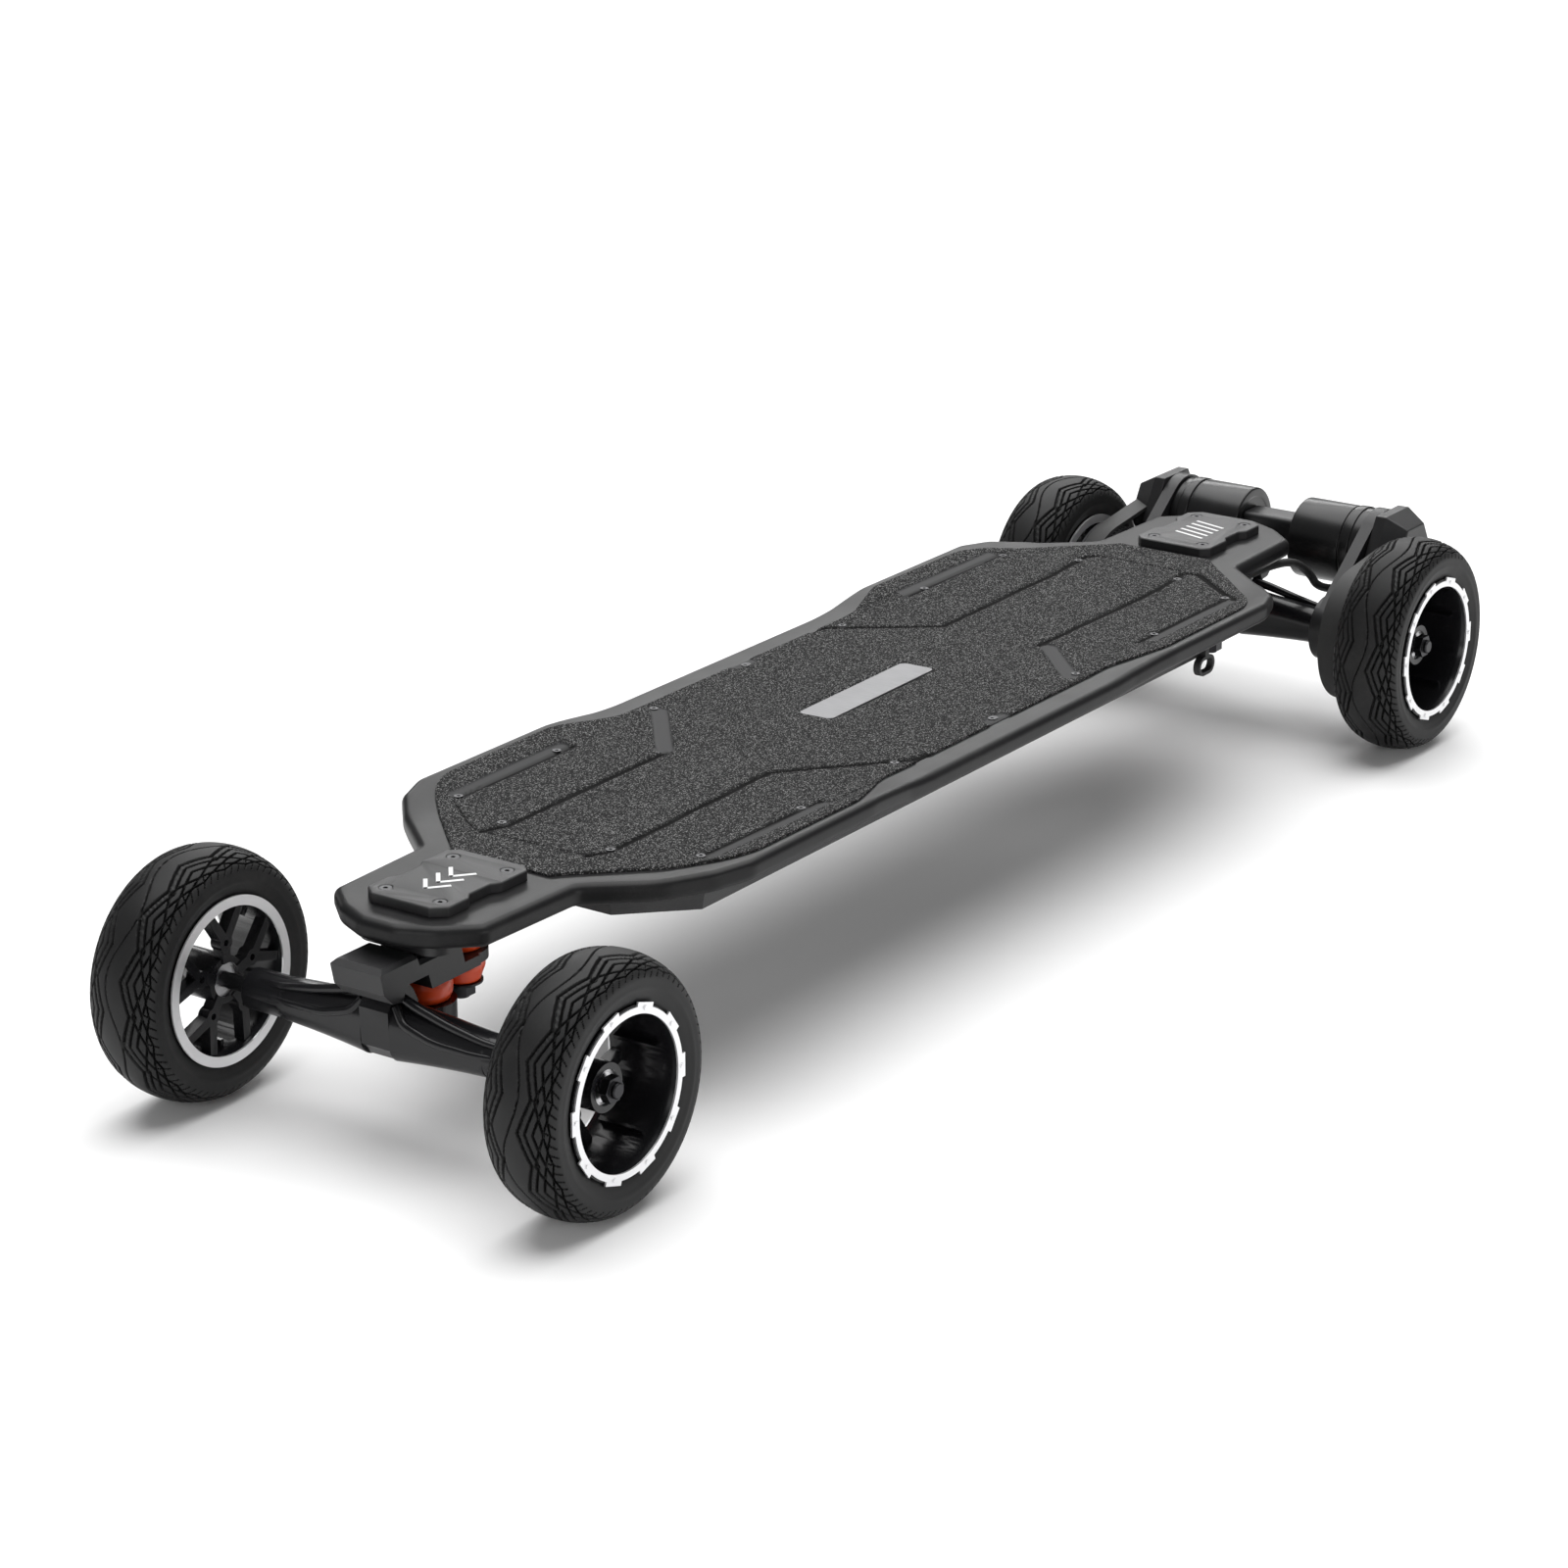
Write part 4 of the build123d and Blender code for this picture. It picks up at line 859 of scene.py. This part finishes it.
class SKATE_OT_trucks(bpy.types.Operator):
    """Finishes both trucks: baseplates, arms, hangers, kingpins, axles and bushings"""
    bl_idname = "skate.trucks"
    bl_label = "Trucks"

    def execute(self, context):
        edge = settings("trucks").edge_round
        for end in ENDS:
            refined(f"{end}_baseplate", finish("satin"), rounding=edge)
            refined(f"{end}_arm", finish("satin"), rounding=edge)
            refined(f"{end}_hanger", finish("gloss"), rounding=edge)
            for side, sign in SIDES.items():
                for number, stations in enumerate(RIBS, 1):
                    name = f"{end}_{side}_hanger_rib_{number}"
                    new_piece(name, rib(name, end, sign, stations), f"{end}_hanger",
                              finish("gloss"))
            for name in ("upper_kingpin", "lower_kingpin", "axle"):
                refined(f"{end}_{name}", finish("fastener"), rounding=0.25 * MM)
            joined = {"upper": ("deck", f"{end}_arm"), "lower": (f"{end}_arm", f"{end}_hanger")}
            for level, pair in BUSHINGS.items():
                for place, outline in pair.items():
                    bushing(f"{end}_{level}_bushing_{place}", f"{end}_{level}_bushings", outline,
                            *joined[level])
        return {"FINISHED"}


# ---- drive ------------------------------------------------------------------------------------
def motor_can(side):
    """A motor's can: rounded at its inner end, with a raised band and a seam, turned about its
    shaft."""
    start, end = MOTOR_INNER / MM, high("motor_housings")[1] / MM
    outer = (high("motor_housings")[2] - low("motor_housings")[2]) / 2 / MM
    body, seam, rim = outer - 0.6, outer - 1.6, outer - 1.2
    profile = [(0, start + 0.6), (outer - 8, start + 0.6), (outer - 7, start + 0.1),
               (body, start + 0.1), (body, 66), (seam, 66.3), (seam, 67.2), (outer, 67.5),
               (outer, 75), (rim, 75.4), (rim, end), (0, end)]
    ring = smooth_profile([(r * MM, y * MM) for r, y in profile], 1.8 * MM)
    origin = (MOTOR_CENTRE[0], 0, MOTOR_CENTRE[2])
    return turned(origin, (0, side, 0), ring, 128)


# A belt cover's rows, in millimetres: to the side, and from the shaft to a corner.
COVER_RINGS = [(92.2, 0), (92.2, 37), (101, 37), (117.5, 26.5), (117.5, 0)]


def belt_cover(name, side):
    """A six-sided cup over a motor's pulley. A row is a hexagon about the motor's shaft, and the
    rows taper towards the wheel."""
    turn = np.radians(np.arange(0, 360, 60))
    rows = [np.stack([MOTOR_CENTRE[0] + r * MM * np.cos(turn), np.full(6, side * y * MM),
                      MOTOR_CENTRE[2] + r * MM * np.sin(turn)], axis=-1) for y, r in COVER_RINGS]
    return grid_mesh(name, np.array(rows), crease=20)


class SKATE_OT_drive(bpy.types.Operator):
    """Makes the motors' cans and belt covers, and finishes the mounts, belts and inner pieces"""
    bl_idname = "skate.drive"
    bl_label = "Drive"

    def execute(self, context):
        for name, side in SIDES.items():
            mesh = grid_mesh(f"{name}_motor_can", motor_can(side), crease=40)
            new_piece(f"{name}_motor_can", mesh, "rear_hanger", finish("motor"),
                      ["motor_housings"])
            refined(f"{name}_rotor", finish("steel"), rounding=0)
        refined("motor_mounts", finish("cover"), rounding=0.8 * MM)
        for name, side in SIDES.items():
            cover = new_piece(f"{name}_belt_cover", belt_cover(f"{name}_belt_cover", side),
                              "rear_hanger", finish("cover"), ["belt_covers"])
            soften(cover, 0.9 * MM)
        refined("motor_bridge", finish("cover"), rounding=0.8 * MM)
        refined("motor_stators", finish("copper"), rounding=0)
        refined("drive_belts", finish("rubber"), rounding=0)
        return {"FINISHED"}


# Each lead's route, in millimetres from the rear axle: outwards, to its side, and above ground.
LEAD_ROUTE = [(-112, 46, 130.5), (-70, 46, 130.3), (-30, 47, 130), (4, 49, 126), (24, 53, 112),
              (26, 59, 101), (40, 63, 97.5)]
LEAD_R = 3.2 * MM
TIE_AT = 0.55  # of the lead's points


def lead_points(side):
    """The points of a lead's smooth line, read from its own spline."""
    curve = bpy.data.curves.new("lead_line", "CURVE")
    curve.dimensions = "3D"
    spline = curve.splines.new("NURBS")
    spline.points.add(len(LEAD_ROUTE) - 1)
    for point, (x, y, z) in zip(spline.points, LEAD_ROUTE):
        point.co = (AXLES["rear"][0] - x * MM, side * y * MM, z * MM, 1)
    spline.order_u = 3
    spline.use_endpoint_u = True
    spline.resolution_u = 12
    carrier = bpy.data.objects.new("lead_line", curve)
    mesh = bpy.data.meshes.new_from_object(carrier)
    line = np.array([v.co for v in mesh.vertices])
    bpy.data.objects.remove(carrier)
    bpy.data.meshes.remove(mesh)
    return line


def tube(line, radius, around=20):
    """A round tube along a line, its ends drawn in to a point. Rings stand across the line."""
    along = np.gradient(line, axis=0)
    along /= np.linalg.norm(along, axis=1, keepdims=True)
    side = np.cross(along, (0.0, 1.0, 0.0))
    side /= np.linalg.norm(side, axis=1, keepdims=True)
    other = np.cross(along, side)
    turn = np.linspace(0, 2 * np.pi, around, endpoint=False)[None, :, None]
    rings = line[:, None] + radius * (np.cos(turn) * side[:, None] + np.sin(turn) * other[:, None])
    first = np.repeat(line[:1, None], around, axis=1)
    last = np.repeat(line[-1:, None], around, axis=1)
    return np.concatenate([first, rings, last])


class SKATE_OT_leads(bpy.types.Operator):
    """Makes the two motor leads, each in two pieces split part-way along, and finishes the cable
    glands
    """
    bl_idname = "skate.leads"
    bl_label = "Motor leads"

    def execute(self, context):
        for name, side in SIDES.items():
            line = lead_points(side)
            tie = int(len(line) * TIE_AT)
            parts = {"deck": (line[:tie + 1], "deck", "rear_arm"),
                     "hanger": (line[tie:], "rear_arm", "rear_hanger")}
            for part, (stretch, near, far) in parts.items():
                mesh = grid_mesh(f"{name}_lead_{part}", tube(stretch, LEAD_R))
                piece = new_piece(f"{name}_lead_{part}", mesh, None, finish("rubber"),
                                  ["motor_cables"])
                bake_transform(piece)
        refined("cable_glands", finish("rubber"), rounding=0.5 * MM)
        return {"FINISHED"}


# Each piece of the case: its node, its finish and the rounding of its edges in millimetres.
CASE_PIECES = [("enclosure", "case", 1.2), ("battery_cells", "cells", 0),
               ("battery_board", "board", 0), ("motor_controller", "sink", 0),
               ("charge_port", "case", 0.4), ("port_plug", "rubber", 0.7),
               ("power_button", "case", 0.3)]


class SKATE_OT_case(bpy.types.Operator):
    """Finishes the case under the deck, what it holds, the charge port and the power button"""
    bl_idname = "skate.case"
    bl_label = "Case and electronics"

    def execute(self, context):
        for piece, look, rounding in CASE_PIECES:
            refined(piece, finish(look), rounding=rounding * MM)
        return {"FINISHED"}


# ---- stage ------------------------------------------------------------------------------------
SKY_STRENGTH = 0.20
SUN_STRENGTH, SUN_SPREAD = 3.5, math.radians(70)  # so broad that its shadows are soft
SUN_SHINES = (0.25, 0.1, -1)
# Each area light: its name, place, target, width and height, and power.
STRIPS = [("rear strip", (-2.4, -1.5, 1.3), (-0.2, 0, 0.1), (2.6, 0.45), 22),
          ("side strip", (0.6, 2.4, 0.7), (0.2, 0, 0.1), (2.2, 0.3), 14),
          ("front fill", (2.4, 0.4, 0.9), (0.5, 0, 0.1), (0.8, 0.8), 7)]
FLOOR_HALF = 30.0
CAMERA_FROM_MIDDLE = (2.3543, 1.5657, 1.0884)
CAMERA_LOOKS = (-0.7742, -0.5373, -0.3346)


def add_light(name, kind, place, towards, power):
    """A light at a place that shines along a direction."""
    light = bpy.data.lights.new(name, kind)
    light.energy = power
    lamp = bpy.data.objects.new(name, light)
    bpy.context.scene.collection.objects.link(lamp)
    lamp.location = place
    lamp.rotation_euler = Vector(towards).to_track_quat("-Z", "Y").to_euler()
    return light


class SKATE_OT_stage(bpy.types.Operator):
    """Makes the floor, the soft studio light and the camera"""
    bl_idname = "skate.stage"
    bl_label = "Stage"

    def execute(self, context):
        scene = context.scene
        world = bpy.data.worlds.new("studio")
        world.use_nodes = True
        sky = world.node_tree.nodes["Background"]
        sky.inputs["Color"].default_value = (1, 1, 1, 1)
        sky.inputs["Strength"].default_value = SKY_STRENGTH
        scene.world = world
        scene.view_settings.view_transform = "Standard"
        corners = [(x * FLOOR_HALF, y * FLOOR_HALF, 0)
                   for x, y in ((-1, -1), (1, -1), (1, 1), (-1, 1))]
        mesh = bpy.data.meshes.new("floor")
        mesh.from_pydata(corners, [], [(0, 1, 2, 3)])
        mesh.materials.append(finish("floor"))
        floor = bpy.data.objects.new("floor", mesh)
        scene.collection.objects.link(floor)
        sun = add_light("overhead sun", "SUN", (0, 0, 0), SUN_SHINES, SUN_STRENGTH)
        sun.angle = SUN_SPREAD
        for name, place, target, size, power in STRIPS:
            strip = add_light(name, "AREA", place, Vector(target) - Vector(place), power)
            strip.shape = "RECTANGLE"
            strip.size, strip.size_y = size
        lens = bpy.data.cameras.new("camera")
        lens.lens = settings("stage").lens
        lens.sensor_width = 36.0
        lens.clip_end = 100.0
        camera = bpy.data.objects.new("camera", lens)
        scene.collection.objects.link(camera)
        camera.location = Vector(CAMERA_FROM_MIDDLE) + Vector((MID_X, 0, 0))
        camera.rotation_euler = Vector(CAMERA_LOOKS).to_track_quat("-Z", "Y").to_euler()
        scene.camera = camera
        return {"FINISHED"}


OPERATORS = (SKATE_OT_stage, SKATE_OT_deck, SKATE_OT_wheels, SKATE_OT_trucks, SKATE_OT_drive,
             SKATE_OT_leads, SKATE_OT_case)


class SKATE_PT_panel(bpy.types.Panel):
    """Lists the skateboard's sizes, colours and pieces"""
    bl_idname = "SKATE_PT_panel"
    bl_label = "Electric skateboard"
    bl_space_type = "VIEW_3D"
    bl_region_type = "UI"
    bl_category = "Skateboard"

    def draw(self, context):
        for name, group in SETTINGS.items():
            box = self.layout.box()
            box.label(text=name.capitalize())
            for key in group.__annotations__:
                box.prop(settings(name), key)
        for operator in OPERATORS:
            self.layout.operator(operator.bl_idname)


CLASSES = tuple(SETTINGS.values()) + OPERATORS + (SKATE_PT_panel,)


def register():
    for made in CLASSES:
        bpy.utils.register_class(made)
    for name, group in SETTINGS.items():
        setattr(bpy.types.Scene, f"skateboard_{name}", bpy.props.PointerProperty(type=group))


def unregister():
    for name in SETTINGS:
        delattr(bpy.types.Scene, f"skateboard_{name}")
    for made in reversed(CLASSES):
        bpy.utils.unregister_class(made)


def main():
    """Builds every piece in turn."""
    register()
    for operator in OPERATORS:
        family, action = operator.bl_idname.split(".")
        getattr(getattr(bpy.ops, family), action)()


if __name__ == "__main__":
    main()
